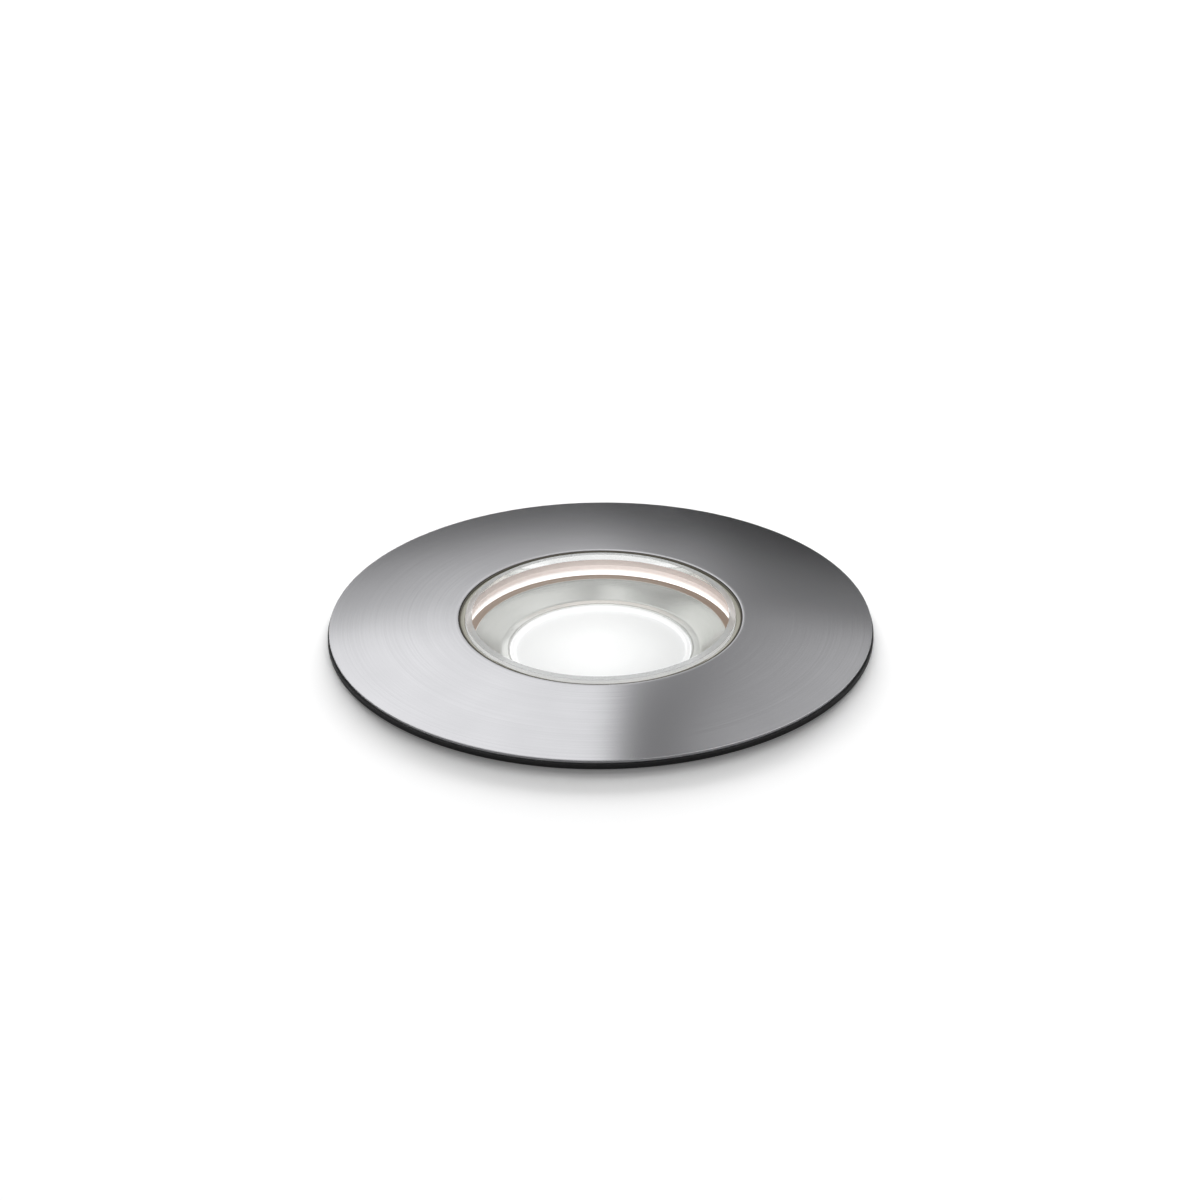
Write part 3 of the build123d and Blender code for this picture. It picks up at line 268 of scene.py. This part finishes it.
def cloudySilicone(look):
    # cast silicone, cloudy: olive above, with painted shade along its top edge at the trim; pink below, with
    # a painted glow for the lens's light shining into it, and white with a brighter painted glow along its
    # lower brim
    made, tree, shader = material("cloudy_silicone", Roughness=0.42, IOR=1.41)
    place = put(tree, "ShaderNodeTexCoord").outputs["Object"]
    level = put(tree, "ShaderNodeSeparateXYZ", {0: place}).outputs["Z"]
    grain = put(tree, "ShaderNodeTexNoise", {"Vector": place, "Scale": 1 / (look["grain"] * mm),
                                             "Detail": 3.0})
    # painted glow: the lower part turns pink and glows, standing in for the lens's light shining into it
    deep = put(tree, "ShaderNodeMapRange", {"Value": level, "From Min": look["upperEnd"] * mm,
                                            "From Max": look["lowerFull"] * mm},
               interpolation_type="SMOOTHSTEP").outputs[0]
    cloud = put(tree, "ShaderNodeMapRange", {"Value": grain.outputs["Fac"], "From Min": 0.3, "From Max": 0.7,
                                             "To Min": (1 - look["cloud"]) * look["glow"],
                                             "To Max": (1 + look["cloud"]) * look["glow"]}).outputs[0]
    # painted glow: the lower brim turns white and glows brighter
    brim = put(tree, "ShaderNodeMapRange", {"Value": level, "From Min": look["brimFrom"] * mm,
                                            "From Max": look["brimFull"] * mm,
                                            "To Max": look["brimPaintedGlow"]}).outputs[0]
    light = put(tree, "ShaderNodeMath", {0: deep, 1: cloud, 2: brim}, operation="MULTIPLY_ADD").outputs[0]
    # painted shade: the top edge at the trim darkened as if the gap there lay in shadow
    featherShadeShare = put(tree, "ShaderNodeMapRange", {"Value": level, "From Min": look["featherShadeFrom"] * mm,
                                            "From Max": look["featherShadeFull"] * mm}).outputs[0]
    colour = put(tree, "ShaderNodeMix", {0: featherShadeShare, 6: linear(look["upper"]), 7: linear(look["featherShadeTone"])},
                 data_type="RGBA").outputs[2]
    for share, tone in ((deep, "lower"), (brim, "brim")):
        colour = put(tree, "ShaderNodeMix", {0: share, 6: colour, 7: linear(look[tone])},
                     data_type="RGBA").outputs[2]
    feed(tree, shader, Base_Color=colour, Emission_Color=colour, Emission_Strength=light)
    return made


opticLook = dict(reach=18.2, shown=0.8, thrown=1.6, grit=0.35, relief=0.02,   # mm and strengths
                 tones=((0, "#FFFFFF"), (18.2, "#FFFFFF"), (6, "#FDFEFD"), (17.0, "#E4E5E4"),
                        (17.35, "#FFFFFF")))


def frostedOptic(look):
    # frosted acrylic over a lit source: an even white glow, a little fuller in the middle and in the clear
    # rim; it throws more light on the pieces round it than the eye, used to the glare, sees in it
    made, tree, shader = material("frosted_acrylic", Base_Color=linear("#8C8D8E"), Roughness=0.5, IOR=1.49)
    path = put(tree, "ShaderNodeLightPath").outputs
    looked = put(tree, "ShaderNodeMath", {0: path["Is Camera Ray"], 1: path["Is Transmission Ray"]},
                 operation="MAXIMUM").outputs[0]
    power = put(tree, "ShaderNodeMapRange", {"Value": looked, "To Min": look["thrown"],
                                             "To Max": look["shown"]})
    place = put(tree, "ShaderNodeTexCoord").outputs["Object"]
    radius = fromAxis(tree, place)[1]
    out = put(tree, "ShaderNodeMath", {0: radius, 1: 1 / (look["reach"] * mm)},
              operation="MULTIPLY").outputs[0]
    tone = put(tree, "ShaderNodeValToRGB", {0: out},
               stops=[(ring / look["reach"], colour) for ring, colour in look["tones"]])
    grit = put(tree, "ShaderNodeTexNoise", {"Vector": place, "Scale": 1 / (look["grit"] * mm), "Detail": 2.0})
    bump = put(tree, "ShaderNodeBump", {"Height": grit.outputs["Fac"], "Strength": 0.3,
                                        "Distance": look["relief"] * mm})
    feed(tree, shader, Emission_Strength=power.outputs[0], Emission_Color=tone.outputs[0],
         Normal=bump.outputs[0])
    return made


# each is given as dark and pale colours, roughness, pattern size in mm and relief in mm
groundGlass = ("#BABCBC", "#C2C4C4")
finishes = {
    # stainless steel faced on a lathe: rings of tool marks, 0.22 mm apart, coarser than real ones to show
    "trim": turnedMetal("turned_stainless_steel", "#CECED1", "#D7D7DA", (0.13, 0.155), 0.22, 0.0002,
                        Metallic=1.0, Anisotropic=0.8),
    # spun aluminium, satin: soft rings, and a warm grey with a painted glow of the lens's light near its
    # inner edge
    "dish": turnedMetal("satin_spun_aluminium", "#C9CBC7", "#D1D3CF", (0.16, 0.19), 0.3, 0.0001,
                        Metallic=0.95, Anisotropic=0.4,
                        glow=((18.5, "#202020"), (25.6, "#24241E"), (18.75, "#202020"), (18.9, "#949594"),
                              (20.4, "#5C5D5A"))),
    # die-cast aluminium, shot blasted: dull pale grey with a fine grain; brown inside, with a painted glow
    # there
    "cast": mottled("shot_blasted_aluminium", "#B3B4B3", "#C0C1BF", (0.44, 0.54), 0.45, 0.012,
                    inside=(29.6, "#9A8472", 0.6), Metallic=1.0),
    # stainless ring faced on a lathe: fine rings, duller than the trim
    "ring": turnedMetal("faced_stainless_ring", "#B2B2B1", "#C2C2C0", (0.28, 0.36), 0.3, 0.0006, spun=False,
                        Metallic=1.0),
    # stainless machine screws: bright, with light tumbling marks
    "fixing": mottled("tumbled_stainless_screw", "#BAB9B7", "#C3C2C0", (0.26, 0.31), 0.8, 0.0008,
                      Metallic=1.0),
    # hardened strip and wire, greyed slightly by tempering
    "spring": mottled("tempered_spring_steel", "#A8AAAD", "#B0B2B5", (0.27, 0.31), 1.2, 0.0005,
                      Metallic=1.0),
    # moulded black rubber: near black, soft gloss, fine pores
    "rubber": mottled("moulded_epdm_rubber", "#040405", "#0A0A0B", (0.5, 0.68), 0.4, 0.03),
    "silicone": cloudySilicone(siliconeLook),
    # glass-filled nylon, black: a dry sheen with faint flow marks
    "blackPlastic": mottled("black_glass_filled_nylon", "#141516", "#242628", (0.42, 0.58), 0.6, 0.04),
    # grey moulded nylon for the gland: even, with a soft sheen
    "greyPlastic": mottled("grey_moulded_nylon", "#5D6166", "#73787D", (0.36, 0.5), 0.7, 0.03),
    # white polycarbonate, moulded: clean with a slight satin
    "whitePlastic": mottled("white_polycarbonate", "#DADBDB", "#EDEEEE", (0.3, 0.42), 0.6, 0.02, IOR=1.58),
    # alumina ceramic: chalky white
    "ceramic": mottled("alumina_ceramic", "#E6E3DC", "#F4F2EE", (0.45, 0.6), 0.25, 0.02),
    # phosphor in silicone: deep yellow
    "phosphor": mottled("phosphor_silicone", "#D9B528", "#EBCB45", (0.35, 0.5), 0.15, 0.02),
    # gap pad: soft grey putty
    "pad": mottled("silicone_gap_pad", "#7F868C", "#98A0A6", (0.6, 0.75), 0.5, 0.04),
    # silicone wire insulation: a plain dark red
    "wire": mottled("red_silicone_insulation", "#8E1A14", "#A8241C", (0.4, 0.52), 0.5, 0.02),
    # glass epoxy under green solder mask: a glossy deep green
    "board": mottled("green_solder_mask", "#0F4A2C", "#17613B", (0.24, 0.36), 0.7, 0.02),
    # ferrite and lacquered windings: dark brown grey
    "ferrite": mottled("sintered_ferrite", "#2B2A2B", "#3D3B3A", (0.45, 0.62), 0.4, 0.03),
    "glass": clearGlass(),
    # ground glass: the bevel is left matt from the wheel, so it is a cloudy grey ring, with a faint painted
    # glow for the lens's light coming out through it
    "bevel": mottled("ground_glass", *groundGlass, (0.2, 0.26), 0.5, 0.0003, IOR=1.52,
                     Transmission_Weight=0.6, Emission_Color=linear("#F6F6F6"), Emission_Strength=0.12),
    # the same on the pane's edge, brighter, since the light inside the pane comes out there
    "edge": mottled("lit_glass_edge", *groundGlass, (0.3, 0.36), 0.5, 0.0003, IOR=1.52,
                    Transmission_Weight=0.3, Emission_Color=linear("#F6F6F6"), Emission_Strength=0.4),
    "optic": frostedOptic(opticLook),
}
print("finishes made:", len(finishes))


# Trim, its gasket, the window and the optic, turned finely enough for smooth edges; sizes in mm

trim = dict(radius=54.75, window=28.6, bottom=1.4, seatInner=46.6, seatSlant=0.2, seat=1.0, edgeTop=1.85,
            top=4.05, recess=1.7, collarInner=39.7, collarOuter=40.9, collarBottom=-4.8, collarRound=0.2,
            innerRound=0.1, softEdge=0.05, edgeRound=0.12, edgeHigh=0.09, edgeDrop=0.03, windowRound=0.1,
            underBreak=0.1, breakRound=0.01, slope=2.4, steps=360)   # the slope is in degrees
crownEnd, crownStart = trim["radius"] - trim["edgeRound"], trim["window"] + trim["windowRound"]
share = np.linspace(1, 0, 40)
fall = (crownEnd - crownStart) * math.tan(math.radians(trim["slope"]))
dip = trim["top"] - trim["edgeTop"] - fall
crown = np.stack([crownStart + (crownEnd - crownStart) * share,   # a slight fall, then more by the square
                  trim["top"] - fall * share - dip * share ** 2], 1)
quarter = np.linspace(0, math.pi / 2, 7)[:-1]
rimArc = np.stack([crownEnd + trim["edgeRound"] * np.cos(quarter),
                   trim["edgeTop"] - trim["edgeHigh"] * (1 - np.sin(quarter))], 1)
windowArc = np.stack([crownStart - trim["windowRound"] * np.sin(quarter[1:]),
                      trim["top"] - trim["windowRound"] * (1 - np.cos(quarter[1:]))], 1)
underside = rounded([
    (trim["window"], trim["recess"], 0),
    (trim["collarInner"], trim["recess"], trim["softEdge"]),
    (trim["collarInner"], trim["collarBottom"], trim["collarRound"]),
    (trim["collarOuter"], trim["collarBottom"], trim["collarRound"]),
    (trim["collarOuter"], trim["bottom"], trim["innerRound"]),
    (trim["seatInner"], trim["bottom"], trim["softEdge"]),
    (trim["seatInner"] + trim["seatSlant"], trim["seat"], trim["softEdge"]),
    (trim["radius"] - trim["underBreak"], trim["seat"], trim["breakRound"]),
    (trim["radius"], trim["edgeTop"] - trim["edgeHigh"] - trim["edgeDrop"], trim["breakRound"]),
])[:-2]                  # without the straight back to the start, where the rim, crown and window follow
trimRing = turned("trim_plate", np.vstack([underside, rimArc, crown, windowArc]), steps=trim["steps"])
stand(trimRing, finishes["trim"], "trim", "trim_ring")

gasket = dict(inner=46.85, outer=55.0, bottom=0.0, top=1.0, edge=0.08)
trimGasket = turned("trim_seal_ring", rounded([
    (gasket["inner"], gasket["bottom"], gasket["edge"]),
    (gasket["outer"], gasket["bottom"], gasket["edge"]),
    (gasket["outer"], gasket["top"], gasket["edge"]),
    (gasket["inner"], gasket["top"], gasket["edge"]),
]))
stand(trimGasket, finishes["rubber"], "trim", "trim_gasket")

glass = dict(radius=27.25, flange=32.0, top=4.4, bottom=-3.6, step=-0.6, bevelWide=1.35, bevelHigh=0.18,
             edge=0.4, soft=0.1, polish=0.06, groundFrom=3.4, near=0.01, sharp=20)   # sharp is in degrees
windowGlass = turned("window_pane", rounded([
    (0, glass["bottom"], 0),
    (glass["flange"] - glass["edge"], glass["bottom"], glass["soft"]),
    (glass["flange"], glass["bottom"] + glass["edge"], glass["soft"]),
    (glass["flange"], glass["step"] - glass["edge"], glass["soft"]),
    (glass["flange"] - glass["edge"], glass["step"], glass["soft"]),
    (glass["radius"], glass["step"], glass["soft"]),
    (glass["radius"], glass["groundFrom"], 0),
    (glass["radius"], glass["top"] - glass["bevelHigh"], glass["polish"]),
    (glass["radius"] - glass["bevelWide"], glass["top"], glass["polish"]),
    (0, glass["top"], 0),
]), sharp=glass["sharp"])
stand(windowGlass, finishes["glass"], "lamp", "window_glass")
windowGlass.data.materials.append(finishes["bevel"])
windowGlass.data.materials.append(finishes["edge"])
middles = np.empty(len(windowGlass.data.polygons) * 3, np.float32)
windowGlass.data.polygons.foreach_get("center", middles)
faceLevel = middles[2::3] / mm
bevelFoot = glass["top"] - glass["bevelHigh"] - glass["near"]
ground = (faceLevel > glass["groundFrom"]) & (faceLevel < glass["top"] - glass["near"] / 2)
ground = ground * np.where(faceLevel > bevelFoot, 1, 2)   # 0 is clear, 1 the bevel and 2 the edge under it
windowGlass.data.polygons.foreach_set("material_index", ground.astype(np.int32))

seal = dict(lipInner=27.3, lipOuter=28.45, lipTop=3.45, lipRound=0.35, featherInner=28.2, featherTop=3.95,
            featherRound=0.05, headTop=0.2, outer=32.95, seat=-5.1, soft=0.1, skirtOuter=27.4,
            skirtInner=27.1, skirtBottom=-5.9, skirtRound=0.12, flange=32.05, step=-0.58, underGlass=-3.62,
            crease=0.02)
glassGasket = turned("window_seal", rounded([
    (seal["lipInner"], seal["lipTop"], seal["lipRound"]),
    (seal["lipInner"], seal["step"], seal["crease"]),
    (seal["flange"], seal["step"], seal["crease"]),
    (seal["flange"], seal["underGlass"], seal["crease"]),
    (seal["skirtInner"], seal["underGlass"], seal["crease"]),
    (seal["skirtInner"], seal["skirtBottom"], seal["skirtRound"]),
    (seal["skirtOuter"], seal["skirtBottom"], seal["skirtRound"]),
    (seal["skirtOuter"], seal["seat"], seal["crease"]),
    (seal["outer"], seal["seat"], seal["soft"]),
    (seal["outer"], seal["headTop"], seal["soft"]),
    (seal["lipOuter"], seal["headTop"], seal["soft"]),
    (seal["lipOuter"], seal["featherTop"], seal["featherRound"]),
    (seal["featherInner"], seal["featherTop"], seal["featherRound"]),
    (seal["featherInner"], seal["lipTop"], seal["soft"]),
]))
stand(glassGasket, finishes["silicone"], "lamp", "glass_gasket")

dish = dict(inner=18.5, hook=18.85, hookDeep=0.25, seatOuter=20.3, radius=25.6, seat=-8.9, top=-8.1, rise=2.3,
            thick=0.8, hookRound=0.05, hookCrease=0.02, footRound=1.0, underRound=0.15, rimRound=0.2,
            neckRound=1.5, innerRound=0.08)
reflector = turned("reflector_cone", rounded([
    (dish["inner"], dish["top"] - dish["hookDeep"], dish["hookRound"]),
    (dish["hook"], dish["top"] - dish["hookDeep"], dish["hookCrease"]),
    (dish["hook"], dish["seat"], dish["hookRound"]),
    (dish["seatOuter"], dish["seat"], dish["footRound"]),
    (dish["radius"], dish["top"] + dish["rise"] - dish["thick"], dish["underRound"]),
    (dish["radius"], dish["top"] + dish["rise"], dish["rimRound"]),
    (dish["seatOuter"], dish["top"], dish["neckRound"]),
    (dish["inner"], dish["top"], dish["innerRound"]),
]))
stand(reflector, finishes["dish"], "lamp", "reflector_dish")

lens = dict(radius=18.2, base=8.0, shoulder=16.5, rim=2.6, rimWide=0.85, recess=0.8, well=6.2, wellDeep=5.0,
            top=-8.1, bottom=-23.0, footRound=0.1, outerRound=0.25, innerRound=0.2, hollowRound=0.3,
            joinWide=0.5)
sweep = np.linspace(0, 1, 24)
flareShare = 0.4 * sweep + 0.6 * sweep ** 2   # flares faster near the rim
flare = np.stack([lens["base"] + (lens["shoulder"] - lens["base"]) * flareShare,
                  lens["bottom"] + (lens["top"] - lens["rim"] - lens["bottom"]) * sweep], 1)
wellAngle = np.linspace(math.pi / 2, 0, 14)   # the well for the source: a quarter of an ellipse
well = np.stack([lens["well"] * np.cos(wellAngle), lens["bottom"] + lens["wellDeep"] * np.sin(wellAngle)], 1)
face, faceRadius = lens["top"] - lens["recess"], lens["radius"] - lens["rimWide"]
rimLine = rounded([
    (0, lens["top"] - lens["rim"], 0),
    (lens["radius"], lens["top"] - lens["rim"], lens["footRound"]),
    (lens["radius"], lens["top"], lens["outerRound"]),
    (faceRadius, lens["top"], lens["innerRound"]),
    (faceRadius, face, lens["hollowRound"]),
    (0, face, 0),
])
rimLine = rimLine[rimLine[:, 0] > lens["shoulder"] - lens["joinWide"]]
frontLens = turned("frosted_lens", np.vstack([well, flare, rimLine, [[0, face]]]))
stand(frontLens, finishes["optic"], "lamp", "lens")
print("turned pieces made")


# Every other node keeps its solid and gets a finish

nodeFinish = {
    "cast": ["lamp_housing", "rear_cap"],
    "ring": ["retaining_ring"],
    "fixing": ["retaining_screws", "board_screws", "driver_screws", "rear_screws", "bracket_screws",
               "clip_pins"],
    "spring": ["clip_brackets", "clip_springs", "spring_clip_a", "spring_clip_b"],
    "rubber": ["collar_ring", "rear_seal", "gland_seal", "cable_grommets"],
    "blackPlastic": ["mounting_sleeve", "driver_capacitor"],
    "greyPlastic": ["gland_body", "gland_locknut", "gland_nut", "terminal_block"],
    "whitePlastic": ["lens_holder"],
    "ceramic": ["led_carrier"],
    "phosphor": ["led_phosphor"],
    "pad": ["thermal_pad"],
    "wire": ["led_leads"],
    "board": ["led_board", "driver_board"],
    "ferrite": ["driver_transformer", "driver_choke"],
}
for finish, names in nodeFinish.items():
    for name in names:
        dress(nodes[name], finishes[finish])
print("nodes dressed:", sum(len(names) for names in nodeFinish.values()))


# Stage: a white floor with the cut-out, soft lamps, a studio surround and the camera

floor = dict(hole=45.1, reach=6500.0, level=-0.02, rings=40, turns=96, colour="#F4F4F4", lift=0.03)
growth = np.linspace(0, 1, floor["rings"])
ringRadius = floor["hole"] * (floor["reach"] / floor["hole"]) ** growth   # radii grow by one ratio
turnAngle = np.arange(floor["turns"]) * fullTurn / floor["turns"]
floorGrid = np.stack([np.outer(np.cos(turnAngle), ringRadius), np.outer(np.sin(turnAngle), ringRadius),
                      np.full((floor["turns"], floor["rings"]), floor["level"])], 2).reshape(-1, 3) * mm
spoke, ring = np.arange(floor["turns"])[:, None] * floor["rings"], np.arange(floor["rings"] - 1)[None, :]
after = np.roll(spoke, -1, 0)
floorFaces = np.stack([spoke + ring, spoke + ring + 1, after + ring + 1, after + ring], 2).reshape(-1, 4)
floorMesh = bpy.data.meshes.new("floor")
floorMesh.from_pydata(floorGrid.tolist(), [], floorFaces.tolist())
floorPiece = bpy.data.objects.new("floor", floorMesh)
scene.collection.objects.link(floorPiece)

# matt white paint, lifted slightly where it is looked at, clear from below
floorFinish, tree, shader = material("white_floor", Base_Color=linear(floor["colour"]), Roughness=1.0,
                                     Specular_IOR_Level=0.0)
path = put(tree, "ShaderNodeLightPath").outputs
looked = put(tree, "ShaderNodeMath", {0: path["Is Camera Ray"], 1: path["Is Transmission Ray"]},
             operation="MAXIMUM").outputs[0]
looked = put(tree, "ShaderNodeMath", {0: looked, 1: path["Is Glossy Ray"]}, operation="MAXIMUM").outputs[0]
lift = put(tree, "ShaderNodeMath", {0: looked, 1: floor["lift"]}, operation="MULTIPLY").outputs[0]
glow = put(tree, "ShaderNodeEmission", {"Color": linear("#FFFFFF"), "Strength": lift}).outputs[0]
lit = put(tree, "ShaderNodeAddShader", {0: shader.outputs[0], 1: glow}).outputs[0]
under = put(tree, "ShaderNodeNewGeometry").outputs["Backfacing"]
clear = put(tree, "ShaderNodeBsdfTransparent").outputs[0]
oneSided = put(tree, "ShaderNodeMixShader", {0: under, 1: lit, 2: clear}).outputs[0]
tree.links.new(oneSided, tree.nodes["Material Output"].inputs["Surface"])
dress(floorPiece, floorFinish)


def softbox(name, azimuth, elevation, distance, wide, high, radiance):
    # a flat lamp that faces the object, its angles in degrees, from the back, and its sizes in m:
    # power = pi x area x radiance
    data = bpy.data.lights.new(name, "AREA")
    data.shape, data.size, data.size_y = "RECTANGLE", wide, high
    data.energy = math.pi * wide * high * radiance
    lamp = bpy.data.objects.new(name, data)
    a, e = math.radians(azimuth), math.radians(elevation)
    way = Vector((math.sin(a) * math.cos(e), math.cos(a) * math.cos(e), math.sin(e)))
    lamp.location = way * distance
    lamp.rotation_mode = "QUATERNION"
    lamp.rotation_quaternion = way.to_track_quat("Z", "Y")
    scene.collection.objects.link(lamp)
    return lamp


floorAlone = bpy.data.collections.new("floor_alone")
floorAlone.objects.link(floorPiece)
objectAlone = bpy.data.collections.new("object_alone")
objectAlone.objects.link(floorPiece)
objectAlone.collection_objects[0].light_linking.link_state = "EXCLUDE"
# a tall bank behind the object, brightest near the floor, lights the floor and throws the soft shadow to the
# front; three soft boxes light the object evenly, at a level where a colour looks as it is written
lamps = (
    ("low_bank", 0, 7.5, 8.0, 7.6, 1.22, 92.0, floorAlone),
    ("middle_bank", 0, 20, 8.0, 7.6, 2.5, 11.2, floorAlone),
    ("high_bank", 0, 37, 8.0, 7.6, 2.9, 3.1, floorAlone),
    ("top_box", 0, 89, 3.0, 2.4, 2.4, 2.0, objectAlone),
    ("front_box", 215, 30, 3.0, 2.0, 2.0, 3.0, objectAlone),
    ("back_box", 40, 25, 3.0, 2.0, 2.0, 1.5, objectAlone),
)
for *setting, lights in lamps:
    lamp = softbox(*setting)
    lamp.light_linking.receiver_collection = lights
    lamp.visible_glossy = lamp.visible_camera = lamp.visible_transmission = False   # only the surround shows

studio = dict(
    strength=1.14, fill=0.2, metalShare=0.35, horizonTop=0.12, horizonFoot=0.03,
    # by height: how far the surround has turned from its low tones to its middle ones, and from those to its
    # high ones, with less of these overhead
    climb=greys((0, "00"), (1, "FF"), (0.2, "00"), (0.25, "39"), (0.28, "59"), (0.31, "84"), (0.34, "BC"),
                (0.365, "DB"), (0.388, "F3"), (0.427, "FF")),
    crest=greys((0, "00"), (1, "B4"), (0.427, "00"), (0.45, "8E"), (0.471, "D9"), (0.52, "FF"), (0.7, "FF"),
                (0.85, "48")),
    # the tones round the object, from front by left, back and right to front again: panels with soft edges
    low=greys((0, "78"), (1, "78"), (0.1, "B8"), (0.22, "A8"), (0.3, "58"), (0.37, "C0"), (0.395, "74"),
              (0.45, "64"), (0.466, "6A"), (0.5, "44"), (0.514, "16"), (0.66, "1C"), (0.72, "70"),
              (0.8, "B0"), (0.873, "C4"), (0.885, "58"), (0.94, "68")),
    middle=greys((0, "A4"), (1, "A4"), (0.1, "D8"), (0.25, "C8"), (0.3, "B0"), (0.37, "D0"), (0.39, "60"),
                 (0.42, "3C"), (0.43, "FF"), (0.45, "FF"), (0.465, "BE"), (0.48, "BE"), (0.492, "CC"),
                 (0.501, "CC"), (0.5035, "96"), (0.507, "A6"), (0.511, "73"), (0.518, "70"), (0.53, "7C"),
                 (0.558, "88"), (0.58, "DC"), (0.62, "F0"), (0.66, "A8"), (0.8, "D4"), (0.873, "E4"),
                 (0.885, "7C"), (0.94, "90")),
    high=greys((0, "C8"), (1, "C8"), (0.1, "F0"), (0.2, "E0"), (0.25, "FF"), (0.501, "FF"), (0.5042, "6E"),
               (0.5085, "6A"), (0.513, "92"), (0.518, "A8"), (0.535, "BC"), (0.57, "CC"), (0.66, "E8"),
               (0.8, "F0"), (0.873, "FF"), (0.885, "9A"), (0.94, "B0")),
)
world = bpy.data.worlds.new("studio")
scene.world = world
world.use_nodes = True
world.cycles.sampling_method = "NONE"
tree = world.node_tree
way = put(tree, "ShaderNodeSeparateXYZ", {0: put(tree, "ShaderNodeTexCoord").outputs["Generated"]}).outputs
turnRound = put(tree, "ShaderNodeMath", {0: way["X"], 1: way["Y"]}, operation="ARCTAN2").outputs[0]
sector = put(tree, "ShaderNodeMath", {0: turnRound, 1: 1 / fullTurn, 2: 0.5},
             operation="MULTIPLY_ADD").outputs[0]
climb, crest = (put(tree, "ShaderNodeValToRGB", {0: way["Z"]}, stops=studio[name]).outputs[0]
                for name in ("climb", "crest"))
low, middle, high = (put(tree, "ShaderNodeValToRGB", {0: sector}, stops=studio[name]).outputs[0]
                     for name in ("low", "middle", "high"))
risen = put(tree, "ShaderNodeMix", {0: climb, 6: low, 7: middle}, data_type="RGBA").outputs[2]
tones = put(tree, "ShaderNodeMix", {0: crest, 6: risen, 7: high}, data_type="RGBA").outputs[2]
surround = put(tree, "ShaderNodeBackground", {"Color": tones, "Strength": studio["strength"]}).outputs[0]
white = put(tree, "ShaderNodeBackground", {"Color": linear("#FFFFFF"), "Strength": 1.0}).outputs[0]
plain = put(tree, "ShaderNodeBackground", {"Color": linear("#FFFFFF"), "Strength": studio["fill"]}).outputs[0]
# dull surfaces get an even fill; the eye sees white, and near the floor glass does too and metal does in part
path = put(tree, "ShaderNodeLightPath").outputs
mirrored = put(tree, "ShaderNodeMath", {0: path["Is Glossy Ray"], 1: studio["metalShare"],
                                        2: path["Is Transmission Ray"]},
               operation="MULTIPLY_ADD", use_clamp=True).outputs[0]
horizon = put(tree, "ShaderNodeMapRange", {"Value": way["Z"], "From Min": studio["horizonTop"],
                                           "From Max": studio["horizonFoot"]}).outputs[0]
looked = put(tree, "ShaderNodeMath", {0: mirrored, 1: horizon, 2: path["Is Camera Ray"]},
             operation="MULTIPLY_ADD", use_clamp=True).outputs[0]
shown = put(tree, "ShaderNodeMixShader", {0: path["Is Diffuse Ray"], 1: surround, 2: plain}).outputs[0]
seen = put(tree, "ShaderNodeMixShader", {0: looked, 1: shown, 2: white}).outputs[0]
tree.links.new(seen, tree.nodes["World Output"].inputs["Surface"])

view = dict(elevation=28.04, distance=1.0278, roll=-0.45, aim=(-0.000067, 0.0, 0.00763),   # degrees and m
            lens=153.3, sensor=36.0)
camera = bpy.data.cameras.new("camera")
camera.lens, camera.sensor_width = view["lens"], view["sensor"]
cameraPiece = bpy.data.objects.new("camera", camera)
tilt = math.radians(view["elevation"])
back = Vector((0, -math.cos(tilt), math.sin(tilt)))
cameraPiece.location = Vector(view["aim"]) + back * view["distance"]
cameraPiece.rotation_mode = "QUATERNION"
cameraPiece.rotation_quaternion = Quaternion(back, math.radians(view["roll"])) @ back.to_track_quat("Z", "Y")
scene.collection.objects.link(cameraPiece)
scene.camera = cameraPiece
scene.view_settings.view_transform = "Standard"
print("stage, lamps and camera set")
